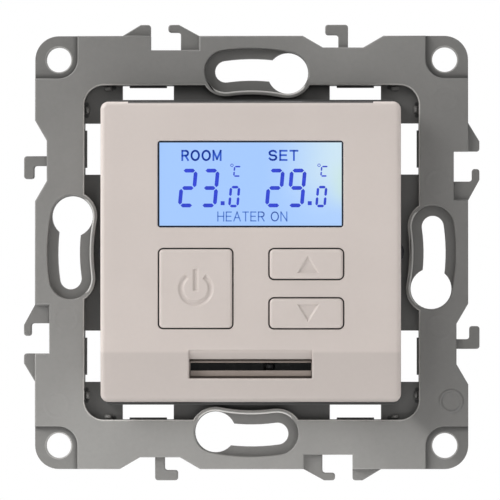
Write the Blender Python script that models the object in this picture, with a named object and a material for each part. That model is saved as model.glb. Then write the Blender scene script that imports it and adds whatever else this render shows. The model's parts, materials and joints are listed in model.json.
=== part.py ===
"""Flush wall thermostat: ivory front unit in a grey 71 mm mounting frame.

Origin: centre of the device on the wall plane. The front faces -Y, the body goes
into the flush box along +Y, and +Z is up. Dimensions below are in millimetres.
"""
import math

import bmesh
import bpy
from mathutils import Vector

MM = 0.001

# ---- clearances -----------------------------------------------------------
GAP = 0.3                 # between two pieces that rest on or fit in each other
KEY_GAP = 0.25            # round a key in the cover
OVERCUT = 1.0             # how far a cutter runs past the face that it cuts

# ---- mounting frame -------------------------------------------------------
FRAME_SIZE = 71.0
FRAME_THICKNESS = 3.6
FRAME_CORNER = 3.9        # radius of the outer corners
CORNER_HOLE_INSET = 3.85  # hole centre to the outer edges
CORNER_HOLE_RADIUS = 2.05
CORNER_PAD_DEPTH = 1.1
CORNER_PAD_MARGIN = 3.1   # pad's inner edge to the hole's centre
OPENING_SIZE = 54.8
OPENING_RADIUS = 3.2
FLOOR_THICKNESS = 1.4
SLOT_CIRCLE = 30.0        # radius on which the fixing slots lie
SLOT_WIDTH = 3.6
SLOT_HEAD_RADIUS = 3.35
SLOT_HEAD_ANGLE = 11.4
SLOT_END_ANGLE = -8.1
SLOT_RECESS_HALF = 3.45
SLOT_RIM_HALF = 4.15
SLOT_SEAT_THICKNESS = 1.9
WINDOW_WIDTH = 8.4
WINDOW_OFFSET = 17.0      # window's centre from the middle of its side
WINDOW_INNER = 24.0
WINDOW_EDGE = 0.05
LEDGE_WIDTH = 6.1
LEDGE_DEPTH = 0.3
HOOK_REACH = 1.85         # hook's tip beyond the frame's edge
HOOK_THICKNESS = 1.8
HOOK_BACK = 0.8           # hook's rear face in front of the wall plane
HOOK_ROOT = 0.8           # how far a hook is rooted in the frame
CATCH_RAMP = 4.7
CATCH_LAND = 1.64
CATCH_WALL = -16.54
CATCH_NOTCH_WIDTH = 8.0
CATCH_NOTCH_DEPTH = 2.35
CATCH_HOOK_LEFT = -11.6
CATCH_LIP = 2.06
CATCH_LIP_HEIGHT = 1.26
CLIP_NOTCH_LEFT = 8.41
CLIP_NOTCH_RIGHT = 21.63
CLIP_NOTCH_SLOPE = 3.3
CLIP_NOTCH_DEPTH = 1.92
CLIP_ARM_LEFT = 14.22
CLIP_ARM_WIDTH = 1.59
CLIP_TIP_LENGTH = 2.15
CLIP_TIP_HEIGHT = 1.69
BACK_POCKET_DEPTH = 1.2
BACK_POCKET_SIZE = (7.0, 3.4)
FRAME_CORNER_STEPS = 12   # sides of a quarter circle at the frame's corners
SLOT_STEPS = 8            # sides along a fixing slot
SLOT_END_STEPS = 16       # sides of a slot's half-round end
FRAME_HOLE_STEPS = 40     # sides of the round holes

# ---- front cover ----------------------------------------------------------
COVER_SIZE = 49.0
COVER_CORNER = 1.3
COVER_FILLET = 0.8
COVER_FRONT = 10.0        # front face in front of the wall plane
COVER_REAR = 4.8
COVER_WALL = 1.2
COVER_FACE_WALL = 1.3
LEAN = 0.8                # how far the lower edge leans back
DISPLAY_WIDTH = 30.3
DISPLAY_HEIGHT = 14.15
DISPLAY_CORNER = 0.5
DISPLAY_MARGIN = 6.41     # window's top to the cover's upper edge
WINDOW_CENTRE_Z = COVER_SIZE / 2 - DISPLAY_MARGIN - DISPLAY_HEIGHT / 2
VENT_WIDTH = 20.0
VENT_HEIGHT = 4.55
VENT_SLOPE = 1.4
VENT_MARGIN = 3.85        # vent's bottom to the cover's lower edge
VENT_BOTTOM = VENT_MARGIN - COVER_SIZE / 2
VENT_TOP = VENT_BOTTOM + VENT_HEIGHT
CREASE_DROP = 0.3         # crease below the vent's top
CREASE_Z = VENT_TOP - CREASE_DROP
TAB_OFFSET = 10.0
TAB_WIDTH = 4.0
TAB_THICKNESS = 0.8

# ---- keys: centre x, centre z, opening width, opening height, corner ------
KEYS = {
    "power": (-8.93, -6.02, 12.33, 13.24, 0.85),
    "up": (9.1, -2.03, 12.38, 5.26, 0.95),
    "down": (9.1, -10.06, 12.38, 5.26, 0.95),
}
KEY_PROUD = 0.35
KEY_FILLET = 0.45
KEY_FLANGE = 0.6
KEY_FLANGE_THICKNESS = 0.5
KEY_STEM_RADIUS = 1.5
KEY_TRAVEL = 0.4
KEY_MARK_DEPTH = 0.2
RING_OUTER = 2.9
RING_INNER = 1.95
RING_GAP_ANGLE = 38.0
RING_BAR_WIDTH = 0.87
RING_BAR_LENGTH = 3.68
ARROW_WIDTH = 3.25
ARROW_HEIGHT = 2.71

# ---- display stack --------------------------------------------------------
GLASS_RECESS = 0.25
GLASS_MARGIN = 1.0        # hidden edge of the glass at the sides
GLASS_FOOT = 0.75         # hidden edge below the window
GLASS_LEDGE = 2.7         # hidden contact ledge above the window
GLASS_THICKNESS = 1.5
GUIDE_MARGIN = 0.6
HOLDER_WALL = 0.7
STRIP_HEIGHT = 1.4
LED_SIZE = (1.0, 1.3, 3.0)
BOARD_THICKNESS = 1.2
BOARD_FRONT = 4.6
BOARD_SIDE_INSET = 4.0    # board's sides inside the cover's outline
BOARD_END_INSET = 1.9     # board's top and bottom inside the cover's outline
BOARD_WIDTH = COVER_SIZE - 2 * BOARD_SIDE_INSET
BOARD_HEIGHT = COVER_SIZE - 2 * BOARD_END_INSET
CHIP_SIZE = 7.0
CHIP_THICKNESS = 1.0
CHIP_Z = -6.5
SENSOR_X = 3.0
SENSOR_BEAD_RADIUS = 0.9
SENSOR_LEAD_RADIUS = 0.4
LOUVRE_THICKNESS = 0.85
LOUVRE_FRONT = 7.85
LOUVRE_SLOT_RISE = 1.35   # slot's lower edge above the vent's bottom
LOUVRE_SLOT_HEIGHT = 1.2
LOUVRE_SLOT_BOTTOM = VENT_BOTTOM + LOUVRE_SLOT_RISE
LOUVRE_SLOT_TOP = LOUVRE_SLOT_BOTTOM + LOUVRE_SLOT_HEIGHT

# ---- key switches ---------------------------------------------------------
SWITCH_SIZE = 5.2
SWITCH_THICKNESS = 1.4
SWITCH_BORE = 1.6
PLUNGER_RADIUS = 1.2
PLUNGER_LENGTH = 1.4

# ---- carrier --------------------------------------------------------------
CARRIER_SIDE_INSET = 0.1  # carrier's sides inside the cover's outline
CARRIER_END_RISE = 0.45   # carrier's top and bottom beyond the cover's outline
CARRIER_WIDTH = COVER_SIZE - 2 * CARRIER_SIDE_INSET
CARRIER_HEIGHT = COVER_SIZE + 2 * CARRIER_END_RISE
CARRIER_CORNER = 1.5
CARRIER_THICKNESS = 1.3
CARRIER_RIM = 0.95
CARRIER_SCREW_INSET = 1.4
CARRIER_SCREW_X = CARRIER_WIDTH / 2 - CARRIER_SCREW_INSET
CARRIER_SCREW_HEAD = 2.05
CARRIER_SCREW_SHANK = 0.9
CARRIER_BOSS_RADIUS = 2.2
CARRIER_BOSS_LENGTH = 2.5
BOARD_SCREW_SIDE_INSET = 1.6
BOARD_SCREW_END_INSET = 1.4
BOARD_SCREW_X = BOARD_WIDTH / 2 - BOARD_SCREW_SIDE_INSET
BOARD_SCREW_Z = BOARD_HEIGHT / 2 - BOARD_SCREW_END_INSET
BOARD_SCREW_HEAD = 1.3
BOARD_SCREW_SHANK = 0.7

# ---- rear housing ---------------------------------------------------------
HOUSING_SIZE = 40.4
HOUSING_CORNER = 2.0
HOUSING_WALL = 1.2
HOUSING_DEPTH = 27.0      # rear face behind the wall plane
HOUSING_STEP = 8.0        # where the corner recesses begin
HOUSING_ARM = 29.2        # width left between two corner recesses
HOUSING_SCREW_OFFSET = 16.9
HOUSING_SCREW_HEAD = 1.75
HOUSING_SCREW_SHANK = 0.7
HOUSING_SCREW_LENGTH = 8.0
HOUSING_POST_RADIUS = 1.8
VENT_SLIT = (1.4, 9.0)
VENT_SLIT_COUNT = 7
VENT_SLIT_PITCH = 3.0
VENT_SLIT_Z = 8.0

# ---- power board and its parts: x range, z range, height off the board ----
POWER_BOARD_FRONT = 2.5
POWER_BOARD_THICKNESS = 1.6
HEADER_SIZE = (12.7, 2.5)
HEADER_Z = -17.0
RELAY = ((-18.2, -2.9), (-6.5, 12.5), 15.5)
FILM_CAPACITOR = ((-1.5, 11.5), (6.7, 12.7), 12.0)
TRANSFORMER = ((-1.2, 8.8), (-5.8, 4.2), 11.0)
VARISTOR = ((-8.0, -1.0), (14.2, 17.7), 8.0)
FUSE = ((2.0, 10.5), (14.2, 18.2), 7.5)
ELECTROLYTIC = (13.9, -0.5, 4.0, 11.5)   # centre x, centre z, radius, height

# ---- terminals ------------------------------------------------------------
TERMINAL_COUNT = 5
TERMINAL_PITCH = 5.0
BLOCK_END_WALL = 0.6
BLOCK_TOP_Z = -9.5
BLOCK_STEP_Y = 13.2
CHAMBER_WIDTH = 4.0
CHAMBER_TOP_Z = -11.8
CHAMBER_FRONT = 14.0
SHOULDER_THICKNESS = 1.0
WELL_DEPTH = 2.1
TERMINAL_SCREW_Z = -15.5
TERMINAL_HEAD = 1.75
TERMINAL_HEAD_HEIGHT = 1.5
TERMINAL_SHANK = 1.0
TERMINAL_SHANK_LENGTH = 6.0
CLAMP_WIDTH = 3.4
CLAMP_WALL = 0.5
CLAMP_NUT = 1.6
CLAMP_FLOOR = 0.8
CLAMP_HEIGHT = 3.8        # clear height inside the clamp
CLAMP_LENGTH = 6.2
CLAMP_TRAVEL = 2.5

# ---- levels worked out from the sizes above (y, negative is in front) -----
FRAME_FRONT_Y = -FRAME_THICKNESS
FLOOR_Y = -FLOOR_THICKNESS
CARRIER_BACK_Y = FLOOR_Y - GAP
CARRIER_FRONT_Y = CARRIER_BACK_Y - CARRIER_THICKNESS
COVER_FRONT_Y = -COVER_FRONT
COVER_REAR_Y = -COVER_REAR
COVER_INSIDE_Y = COVER_FRONT_Y + COVER_FACE_WALL
BOARD_FRONT_Y = -BOARD_FRONT
BOARD_BACK_Y = BOARD_FRONT_Y + BOARD_THICKNESS
ON_BOARD_Y = BOARD_FRONT_Y - GAP
GLASS_FRONT_Y = COVER_FRONT_Y + GLASS_RECESS
GLASS_PLATE_Y = COVER_INSIDE_Y + GAP
GLASS_BACK_Y = GLASS_PLATE_Y + GLASS_THICKNESS
KEY_FRONT_Y = COVER_FRONT_Y - KEY_PROUD
KEY_FLANGE_Y = COVER_INSIDE_Y + GAP
KEY_BACK_Y = KEY_FLANGE_Y + KEY_FLANGE_THICKNESS
SWITCH_FRONT_Y = ON_BOARD_Y - SWITCH_THICKNESS
PLUNGER_FRONT_Y = SWITCH_FRONT_Y - 2 * KEY_TRAVEL
POWER_BOARD_BACK_Y = POWER_BOARD_FRONT + POWER_BOARD_THICKNESS
ON_POWER_BOARD_Y = POWER_BOARD_BACK_Y + GAP
BLOCK_REAR_Y = HOUSING_DEPTH - GAP
WELL_FLOOR_Y = BLOCK_REAR_Y - WELL_DEPTH
CHAMBER_REAR_Y = WELL_FLOOR_Y - SHOULDER_THICKNESS
CLAMP_REAR_Y = CHAMBER_REAR_Y - GAP - CLAMP_TRAVEL

FRAME_HALF = FRAME_SIZE / 2
OPENING_HALF = OPENING_SIZE / 2
COVER_HALF = COVER_SIZE / 2
HOUSING_HALF = HOUSING_SIZE / 2
FLOOR_HOLE = HOUSING_SIZE + 0.8
CORNER_HOLE_AT = FRAME_HALF - CORNER_HOLE_INSET
BLOCK_WIDTH = TERMINAL_COUNT * TERMINAL_PITCH + 2 * BLOCK_END_WALL

MATERIALS = {
    # name: colour, roughness, metallic
    "frame_grey": ((0.18, 0.175, 0.165), 0.55, 0.0),
    "ivory": ((0.62, 0.56, 0.50), 0.42, 0.0),
    "louvre_brown": ((0.20, 0.16, 0.14), 0.6, 0.0),
    "dark_plastic": ((0.04, 0.04, 0.042), 0.5, 0.0),
    "housing_grey": ((0.42, 0.42, 0.42), 0.5, 0.0),
    "display_blue": ((0.38, 0.58, 1.0), 0.2, 0.0),
    "white_plastic": ((0.8, 0.8, 0.78), 0.45, 0.0),
    "clear_plastic": ((0.75, 0.82, 0.85), 0.2, 0.0),
    "rubber_grey": ((0.3, 0.3, 0.3), 0.8, 0.0),
    "board_green": ((0.02, 0.17, 0.06), 0.4, 0.0),
    "black_plastic": ((0.015, 0.015, 0.016), 0.5, 0.0),
    "black_steel": ((0.03, 0.03, 0.032), 0.4, 0.8),
    "plated_steel": ((0.6, 0.6, 0.58), 0.3, 1.0),
    "relay_blue": ((0.02, 0.12, 0.4), 0.35, 0.0),
    "capacitor_yellow": ((0.75, 0.5, 0.05), 0.4, 0.0),
    "varistor_blue": ((0.03, 0.2, 0.5), 0.4, 0.0),
    "terminal_green": ((0.05, 0.3, 0.12), 0.45, 0.0),
}


def material(name):
    """Return the named Principled material, making it on first use."""
    found = bpy.data.materials.get(name)
    if found:
        return found
    colour, roughness, metallic = MATERIALS[name]
    made = bpy.data.materials.new(name)
    made.use_nodes = True
    shader = made.node_tree.nodes["Principled BSDF"]
    shader.inputs["Base Color"].default_value = (*colour, 1.0)
    shader.inputs["Roughness"].default_value = roughness
    shader.inputs["Metallic"].default_value = metallic
    return made


# ---- outlines: lists of (u, v) points, counter-clockwise from the front ----

def arc(centre, radius, start, end, steps):
    """Points on a circle from angle start to end, in degrees."""
    angles = [math.radians(start + (end - start) * i / steps) for i in range(steps + 1)]
    return [(centre[0] + radius * math.cos(a), centre[1] + radius * math.sin(a)) for a in angles]


def circle(centre, radius, steps=20):
    """A closed circle."""
    return arc(centre, radius, 0, 360, steps)[:-1]


def rectangle(width, height, radius=0.0, centre=(0.0, 0.0), steps=4):
    """A rectangle, with round corners where radius is given."""
    half_w = width / 2 - radius
    half_h = height / 2 - radius
    if radius == 0:
        corners = [(half_w, half_h), (-half_w, half_h), (-half_w, -half_h), (half_w, -half_h)]
        return [(centre[0] + u, centre[1] + v) for u, v in corners]
    points = []
    for turn, (side_u, side_v) in enumerate([(1, 1), (-1, 1), (-1, -1), (1, -1)]):
        corner = (centre[0] + side_u * half_w, centre[1] + side_v * half_h)
        points += arc(corner, radius, 90 * turn, 90 * turn + 90, steps)
    return points


def span(low_u, high_u, low_v, high_v):
    """A plain rectangle between two limits in each direction."""
    return [(low_u, low_v), (high_u, low_v), (high_u, high_v), (low_u, high_v)]


def turned_by(outline, degrees):
    """The outline turned about the origin."""
    cos, sin = math.cos(math.radians(degrees)), math.sin(math.radians(degrees))
    return [(u * cos - v * sin, u * sin + v * cos) for u, v in outline]


def four_sides(outline):
    """The outline repeated on each of the four sides of the square."""
    return [turned_by(outline, 90 * side) for side in range(4)]


def cross(size, arm):
    """A square whose corners are cut back to a cross of the given arm width."""
    half, inner = size / 2, arm / 2
    quarter = [(half, inner), (inner, inner), (inner, half)]
    return [point for side in range(4) for point in turned_by(quarter, 90 * side)]


# ---- solids ---------------------------------------------------------------

def near(value, level):
    """True where a stored coordinate is the given level."""
    return abs(value - level) < 1e-4


def solid(name, mesh_data, material_name, origin=(0.0, 0.0, 0.0)):
    """Turn a bmesh in millimetres into an object, with its origin at the given point."""
    bmesh.ops.translate(mesh_data, verts=mesh_data.verts, vec=-Vector(origin))
    bmesh.ops.scale(mesh_data, verts=mesh_data.verts, vec=(MM, MM, MM))
    bmesh.ops.recalc_face_normals(mesh_data, faces=mesh_data.faces)
    mesh = bpy.data.meshes.new(name)
    mesh_data.to_mesh(mesh)
    mesh_data.free()
    mesh.shade_smooth()
    mesh.set_sharp_from_angle(angle=math.radians(30))
    mesh.materials.append(material(material_name))
    made = bpy.data.objects.new(name, mesh)
    made.location = Vector(origin) * MM
    bpy.context.scene.collection.objects.link(made)
    return made


def add_prism(mesh_data, outline, start, end, axis="Y"):
    """Extrude an outline along Y (outline in x, z) or X (outline in y, z)."""
    def place(u, v, along):
        return (u, along, v) if axis == "Y" else (along, u, v)
    verts = [mesh_data.verts.new(place(u, v, start)) for u, v in outline]
    face = mesh_data.faces.new(verts)
    grown = bmesh.ops.extrude_face_region(mesh_data, geom=[face])["geom"]
    moved = [item for item in grown if isinstance(item, bmesh.types.BMVert)]
    step = Vector(place(0.0, 0.0, end - start))
    bmesh.ops.translate(mesh_data, verts=moved, vec=step)


def prism(name, outlines, start, end, material_name="dark_plastic", origin=(0, 0, 0), axis="Y"):
    """One object of one or more extruded outlines that share their two levels."""
    mesh_data = bmesh.new()
    if isinstance(outlines[0][0], (int, float)):
        outlines = [outlines]
    for outline in outlines:
        add_prism(mesh_data, outline, start, end, axis)
    return solid(name, mesh_data, material_name, origin)


def turned(name, profile, centre, material_name, steps=14, origin_y=0.0):
    """Turn a profile of (y, radius) points round the Y axis through centre (x, z)."""
    mesh_data = bmesh.new()
    rings = []
    for along, radius in profile:
        ring = [mesh_data.verts.new((u, along, v)) for u, v in circle(centre, radius, steps)]
        rings.append(ring)
    for near, far in zip(rings, rings[1:]):
        for i in range(steps):
            j = (i + 1) % steps
            mesh_data.faces.new((near[i], near[j], far[j], far[i]))
    mesh_data.faces.new(rings[0])
    mesh_data.faces.new(rings[-1])
    return solid(name, mesh_data, material_name, (centre[0], origin_y, centre[1]))


def combine(target, operation, operand):
    """Add a Boolean of the operand, which then only guides the shape."""
    modifier = target.modifiers.new(operand.name, "BOOLEAN")
    modifier.operation = operation
    modifier.object = operand
    operand.hide_render = True
    operand.display_type = "WIRE"


def cut(target, outlines, start, end, label, axis="Y"):
    """Cut extruded outlines out of the target."""
    cutter = prism(f"{target.name}_{label}", outlines, start, end, axis=axis)
    combine(target, "DIFFERENCE", cutter)


def join(target, outlines, start, end, label, axis="Y"):
    """Add extruded outlines to the target."""
    addition = prism(f"{target.name}_{label}", outlines, start, end, axis=axis)
    combine(target, "UNION", addition)


def box(name, x_range, y_range, z_range, material_name, bevel=0.0):
    """A box between limits, with its origin at its centre and its edges bevelled."""
    outline = span(*x_range, *z_range)
    middle = [(low + high) / 2 for low, high in (x_range, y_range, z_range)]
    made = prism(name, outline, *y_range, material_name, middle)
    if bevel:
        modifier = made.modifiers.new("edges", "BEVEL")
        modifier.width = bevel * MM
        modifier.segments = 1
    return made


def around(centre, size):
    """Limits of the given size about a centre."""
    return (centre - size / 2, centre + size / 2)


def screw(name, centre, head_y, head, shank, material_name, direction=1, drive="cross"):
    """A pan-head screw.

    head and shank are (radius, length); the shank runs along direction * Y from head_y,
    which is the head's seating face, and the drive is cut in the head's outer face.
    """
    head_radius, head_height = head
    shank_radius, shank_length = shank
    top = head_y - direction * head_height
    crown = 0.3 * head_height
    profile = [
        (top, head_radius - crown),
        (top + direction * crown, head_radius),
        (head_y, head_radius),
        (head_y, shank_radius),
        (head_y + direction * (shank_length - shank_radius), shank_radius),
        (head_y + direction * shank_length, 0.5 * shank_radius),
    ]
    made = turned(name, profile, centre, material_name, origin_y=head_y)
    depth = 0.45 * head_height
    levels = sorted((top - direction * OVERCUT, top + direction * depth))
    reach = 1.3 * (head_radius - crown)
    blade = 0.3 * head_radius
    cut(made, rectangle(reach, blade, centre=centre), *levels, "blade")
    if drive == "cross":
        cut(made, rectangle(blade, reach, centre=centre), *levels, "cross_blade")
    return made


# ---- mounting frame -------------------------------------------------------

def frame_side():
    """Outline of the frame's top side, from its left corner to its right corner."""
    edge = FRAME_HALF
    corner = FRAME_CORNER
    notch_floor = edge - CATCH_NOTCH_DEPTH
    clip_floor = edge - CLIP_NOTCH_DEPTH
    points = arc((-edge + corner, edge - corner), corner, 180, 90, FRAME_CORNER_STEPS)
    points += [
        (CATCH_WALL, edge),
        (CATCH_WALL, notch_floor),
        (CATCH_WALL + CATCH_NOTCH_WIDTH, notch_floor),
        (CATCH_WALL + CATCH_NOTCH_WIDTH, edge),
        (CLIP_NOTCH_LEFT, edge),
        (CLIP_NOTCH_LEFT + CLIP_NOTCH_SLOPE, clip_floor),
        (CLIP_NOTCH_RIGHT - CLIP_NOTCH_SLOPE, clip_floor),
        (CLIP_NOTCH_RIGHT, edge),
    ]
    return points


def frame_outline():
    """The whole outer outline, four sides joined clockwise, given counter-clockwise."""
    points = []
    for side in range(4):
        points += turned_by(frame_side(), -90 * side)
    return points[::-1]


def slot_outline(half_width):
    """A curved slot with round ends, centred on the fixing circle at the top side."""
    start = 90 - SLOT_HEAD_ANGLE
    end = 90 - SLOT_END_ANGLE
    ends = [(SLOT_CIRCLE * math.cos(math.radians(a)), SLOT_CIRCLE * math.sin(math.radians(a)))
            for a in (start, end)]
    points = arc((0, 0), SLOT_CIRCLE + half_width, start, end, SLOT_STEPS)
    points += arc(ends[1], half_width, end, end + 180, SLOT_END_STEPS)[1:-1]
    points += arc((0, 0), SLOT_CIRCLE - half_width, end, start, SLOT_STEPS)
    points += arc(ends[0], half_width, start + 180, start + 360, SLOT_END_STEPS)[1:-1]
    return points


def catch_outlines():
    """The ramp and the two hooks that lock neighbouring frames, on the top side."""
    edge = FRAME_HALF
    tip = edge + HOOK_REACH
    ramp_left = CATCH_WALL - CATCH_RAMP
    root = edge - CATCH_NOTCH_DEPTH - HOOK_ROOT
    inner = CATCH_WALL + CATCH_NOTCH_WIDTH
    ramp = [
        (ramp_left, edge),
        (ramp_left, edge - HOOK_ROOT),
        (CATCH_WALL, edge - HOOK_ROOT),
        (CATCH_WALL, tip),
        (CATCH_WALL - CATCH_LAND, tip),
    ]
    hook = [
        (CATCH_HOOK_LEFT, root),
        (inner + GAP, root),
        (inner + GAP, edge - GAP),
        (inner, edge),
        (CATCH_HOOK_LEFT - GAP, tip),
        (CATCH_HOOK_LEFT - CATCH_LIP, tip),
        (CATCH_HOOK_LEFT - CATCH_LIP, tip - CATCH_LIP_HEIGHT),
        (CATCH_HOOK_LEFT, tip - CATCH_LIP_HEIGHT),
    ]
    arm_right = CLIP_ARM_LEFT + CLIP_ARM_WIDTH
    arm_root = edge - CLIP_NOTCH_DEPTH - HOOK_ROOT
    clip = [
        (CLIP_ARM_LEFT, arm_root),
        (arm_right, arm_root),
        (arm_right, tip),
        (CLIP_ARM_LEFT - CLIP_TIP_LENGTH, tip),
        (CLIP_ARM_LEFT - CLIP_TIP_LENGTH, tip - CLIP_TIP_HEIGHT),
        (CLIP_ARM_LEFT, tip - CLIP_TIP_HEIGHT),
    ]
    return [ramp, hook, clip]


def window_outline(side):
    """A clip window beside the opening's top edge, with its small ledge."""
    centre = side * WINDOW_OFFSET
    outer = OPENING_HALF - WINDOW_EDGE
    half, ledge = WINDOW_WIDTH / 2, LEDGE_WIDTH / 2
    return [
        (centre - half, WINDOW_INNER),
        (centre + half, WINDOW_INNER),
        (centre + half, outer),
        (centre + ledge, outer),
        (centre + ledge, outer - LEDGE_DEPTH),
        (centre - ledge, outer - LEDGE_DEPTH),
        (centre - ledge, outer),
        (centre - half, outer),
    ]


def corner_pad_outline():
    """The lowered pad round the top left corner hole, run out past the corner."""
    centre = (-CORNER_HOLE_AT, CORNER_HOLE_AT)
    far = FRAME_HALF + OVERCUT
    points = [(-far, far), (-far, CORNER_HOLE_AT - CORNER_PAD_MARGIN)]
    points += arc(centre, CORNER_PAD_MARGIN, -90, 0, FRAME_CORNER_STEPS)
    points += [(-CORNER_HOLE_AT + CORNER_PAD_MARGIN, far)]
    return points


def make_mounting_frame():
    """The grey frame: plate, floor, fixing slots, clip windows and hooks."""
    front, back = FRAME_FRONT_Y, 0.0
    frame = prism("mounting_frame", frame_outline(), front, back, "frame_grey")
    opening = rectangle(OPENING_SIZE, OPENING_SIZE, OPENING_RADIUS, steps=FRAME_CORNER_STEPS)
    cut(frame, opening, front - OVERCUT, FLOOR_Y, "opening")
    join(frame, four_sides(slot_outline(SLOT_RIM_HALF)), front, -FLOOR_THICKNESS / 2, "rims")
    hooks = [turned_by(shape, 90 * side) for shape in catch_outlines() for side in range(4)]
    join(frame, hooks, -HOOK_BACK - HOOK_THICKNESS, -HOOK_BACK, "hooks")
    seat = -SLOT_SEAT_THICKNESS
    cut(frame, four_sides(slot_outline(SLOT_RECESS_HALF)), front - OVERCUT, seat, "recesses")
    cut(frame, four_sides(slot_outline(SLOT_WIDTH / 2)), front - OVERCUT, OVERCUT, "slots")
    head = (SLOT_CIRCLE * math.sin(math.radians(SLOT_HEAD_ANGLE)),
            SLOT_CIRCLE * math.cos(math.radians(SLOT_HEAD_ANGLE)))
    heads = four_sides(circle(head, SLOT_HEAD_RADIUS, FRAME_HOLE_STEPS))
    cut(frame, heads, front - OVERCUT, OVERCUT, "heads")
    pads = four_sides(corner_pad_outline())
    cut(frame, pads, front - OVERCUT, front + CORNER_PAD_DEPTH, "corner_pads")
    hole = circle((CORNER_HOLE_AT, CORNER_HOLE_AT), CORNER_HOLE_RADIUS, FRAME_HOLE_STEPS)
    holes = four_sides(hole)
    cut(frame, holes, front - OVERCUT, OVERCUT, "corner_holes")
    windows = four_sides(window_outline(1)) + four_sides(window_outline(-1))
    cut(frame, windows, front - OVERCUT, OVERCUT, "windows")
    floor_hole = rectangle(FLOOR_HOLE, FLOOR_HOLE, HOUSING_CORNER)
    cut(frame, floor_hole, front - OVERCUT, OVERCUT, "floor_hole")
    pockets = []
    for offset in (-1, 1):
        middle = (offset * (WINDOW_OFFSET + WINDOW_WIDTH / 2 + 1), (OPENING_HALF + FRAME_HALF) / 2 - 1)
        pockets += four_sides(rectangle(*BACK_POCKET_SIZE, 0.8, middle, 2))
    cut(frame, pockets, -BACK_POCKET_DEPTH, OVERCUT, "back_pockets")
    bosses = [circle((side * CARRIER_SCREW_X, 0), CARRIER_BOSS_RADIUS, 14) for side in (-1, 1)]
    join(frame, bosses, -FLOOR_THICKNESS / 2, CARRIER_BOSS_LENGTH, "bosses")
    bore = CARRIER_SCREW_SHANK + KEY_GAP
    bores = [circle((side * CARRIER_SCREW_X, 0), bore, 12) for side in (-1, 1)]
    cut(frame, bores, front - OVERCUT, CARRIER_BOSS_LENGTH + OVERCUT, "bores")
    return frame


# ---- front cover ----------------------------------------------------------

def lean(z):
    """How far the front face stands back at height z."""
    return LEAN * max(0.0, CREASE_Z - z) / (COVER_HALF + CREASE_Z)


def leaning_block(name, size, corner, front, rear, fillet=0.0):
    """A rounded square block whose front face leans back below the crease."""
    outline = rectangle(size, size, corner)
    left = [i for i, (x, z) in enumerate(outline) if x < 0 and z > CREASE_Z][-1]
    outline.insert(left + 1, (-size / 2, CREASE_Z))
    outline.append((size / 2, CREASE_Z))
    mesh_data = bmesh.new()
    add_prism(mesh_data, outline, front, rear)
    front_verts = [v for v in mesh_data.verts if near(v.co.y, front)]
    crease = [v for v in front_verts if near(v.co.z, CREASE_Z)]
    bmesh.ops.connect_verts(mesh_data, verts=crease)
    for vert in front_verts:
        vert.co.y += lean(vert.co.z)
    if fillet:
        front_set = set(front_verts)
        rim = [edge for edge in mesh_data.edges
               if set(edge.verts) <= front_set and not set(edge.verts) <= set(crease)]
        bmesh.ops.bevel(mesh_data, geom=rim, offset=fillet, segments=3, profile=0.5,
                        affect="EDGES")
    return solid(name, mesh_data, "ivory")


def make_front_cover():
    """The ivory cover: a shallow shell with its window, key openings and vent."""
    cover = leaning_block("front_cover", COVER_SIZE, COVER_CORNER, COVER_FRONT_Y, COVER_REAR_Y,
                          COVER_FILLET)
    inner = COVER_SIZE - 2 * COVER_WALL
    hollow = leaning_block("front_cover_hollow", inner, 0.5, COVER_INSIDE_Y,
                           COVER_REAR_Y + OVERCUT)
    combine(cover, "DIFFERENCE", hollow)
    openings = [rectangle(w, h, r, (x, z)) for x, z, w, h, r in KEYS.values()]
    openings.append(rectangle(DISPLAY_WIDTH, DISPLAY_HEIGHT, DISPLAY_CORNER, (0, WINDOW_CENTRE_Z)))
    cut(cover, openings, COVER_FRONT_Y - OVERCUT, COVER_INSIDE_Y + OVERCUT, "openings")
    vent = [
        (COVER_FRONT_Y - OVERCUT, VENT_TOP),
        (COVER_FRONT_Y - OVERCUT, VENT_BOTTOM),
        (COVER_INSIDE_Y + OVERCUT, VENT_BOTTOM),
        (COVER_INSIDE_Y + OVERCUT, VENT_TOP - VENT_SLOPE),
        (COVER_INSIDE_Y - GAP, VENT_TOP - VENT_SLOPE),
        (COVER_FRONT_Y, VENT_TOP),
    ]
    cut(cover, vent, -VENT_WIDTH / 2, VENT_WIDTH / 2, "vent", axis="X")
    tabs = [rectangle(TAB_WIDTH, TAB_THICKNESS, centre=(side * TAB_OFFSET, end * tab_centre()))
            for side in (-1, 1) for end in (-1, 1)]
    join(cover, tabs, COVER_REAR_Y - 0.5, CARRIER_BACK_Y - GAP, "tabs")
    return cover


def tab_centre():
    """Height of the middle of the cover's upper tabs."""
    return COVER_HALF - GAP - TAB_THICKNESS / 2


# ---- keys and switches ----------------------------------------------------

def key_mark(name, centre):
    """Outlines of the mark sunk in a key: a power ring and bar, or an arrow."""
    x, z = centre
    if name == "power":
        start, end = 90 + RING_GAP_ANGLE, 450 - RING_GAP_ANGLE
        ring = arc(centre, RING_OUTER, start, end, 20)
        ring += arc(centre, RING_INNER, end, start, 20)
        top = z + RING_OUTER + GAP
        bar = span(x - RING_BAR_WIDTH / 2, x + RING_BAR_WIDTH / 2, top - RING_BAR_LENGTH, top)
        return [ring, bar]
    point = 1 if name == "up" else -1
    return [[(x - ARROW_WIDTH / 2, z - point * ARROW_HEIGHT / 2),
             (x + ARROW_WIDTH / 2, z - point * ARROW_HEIGHT / 2),
             (x, z + point * ARROW_HEIGHT / 2)]]


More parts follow.
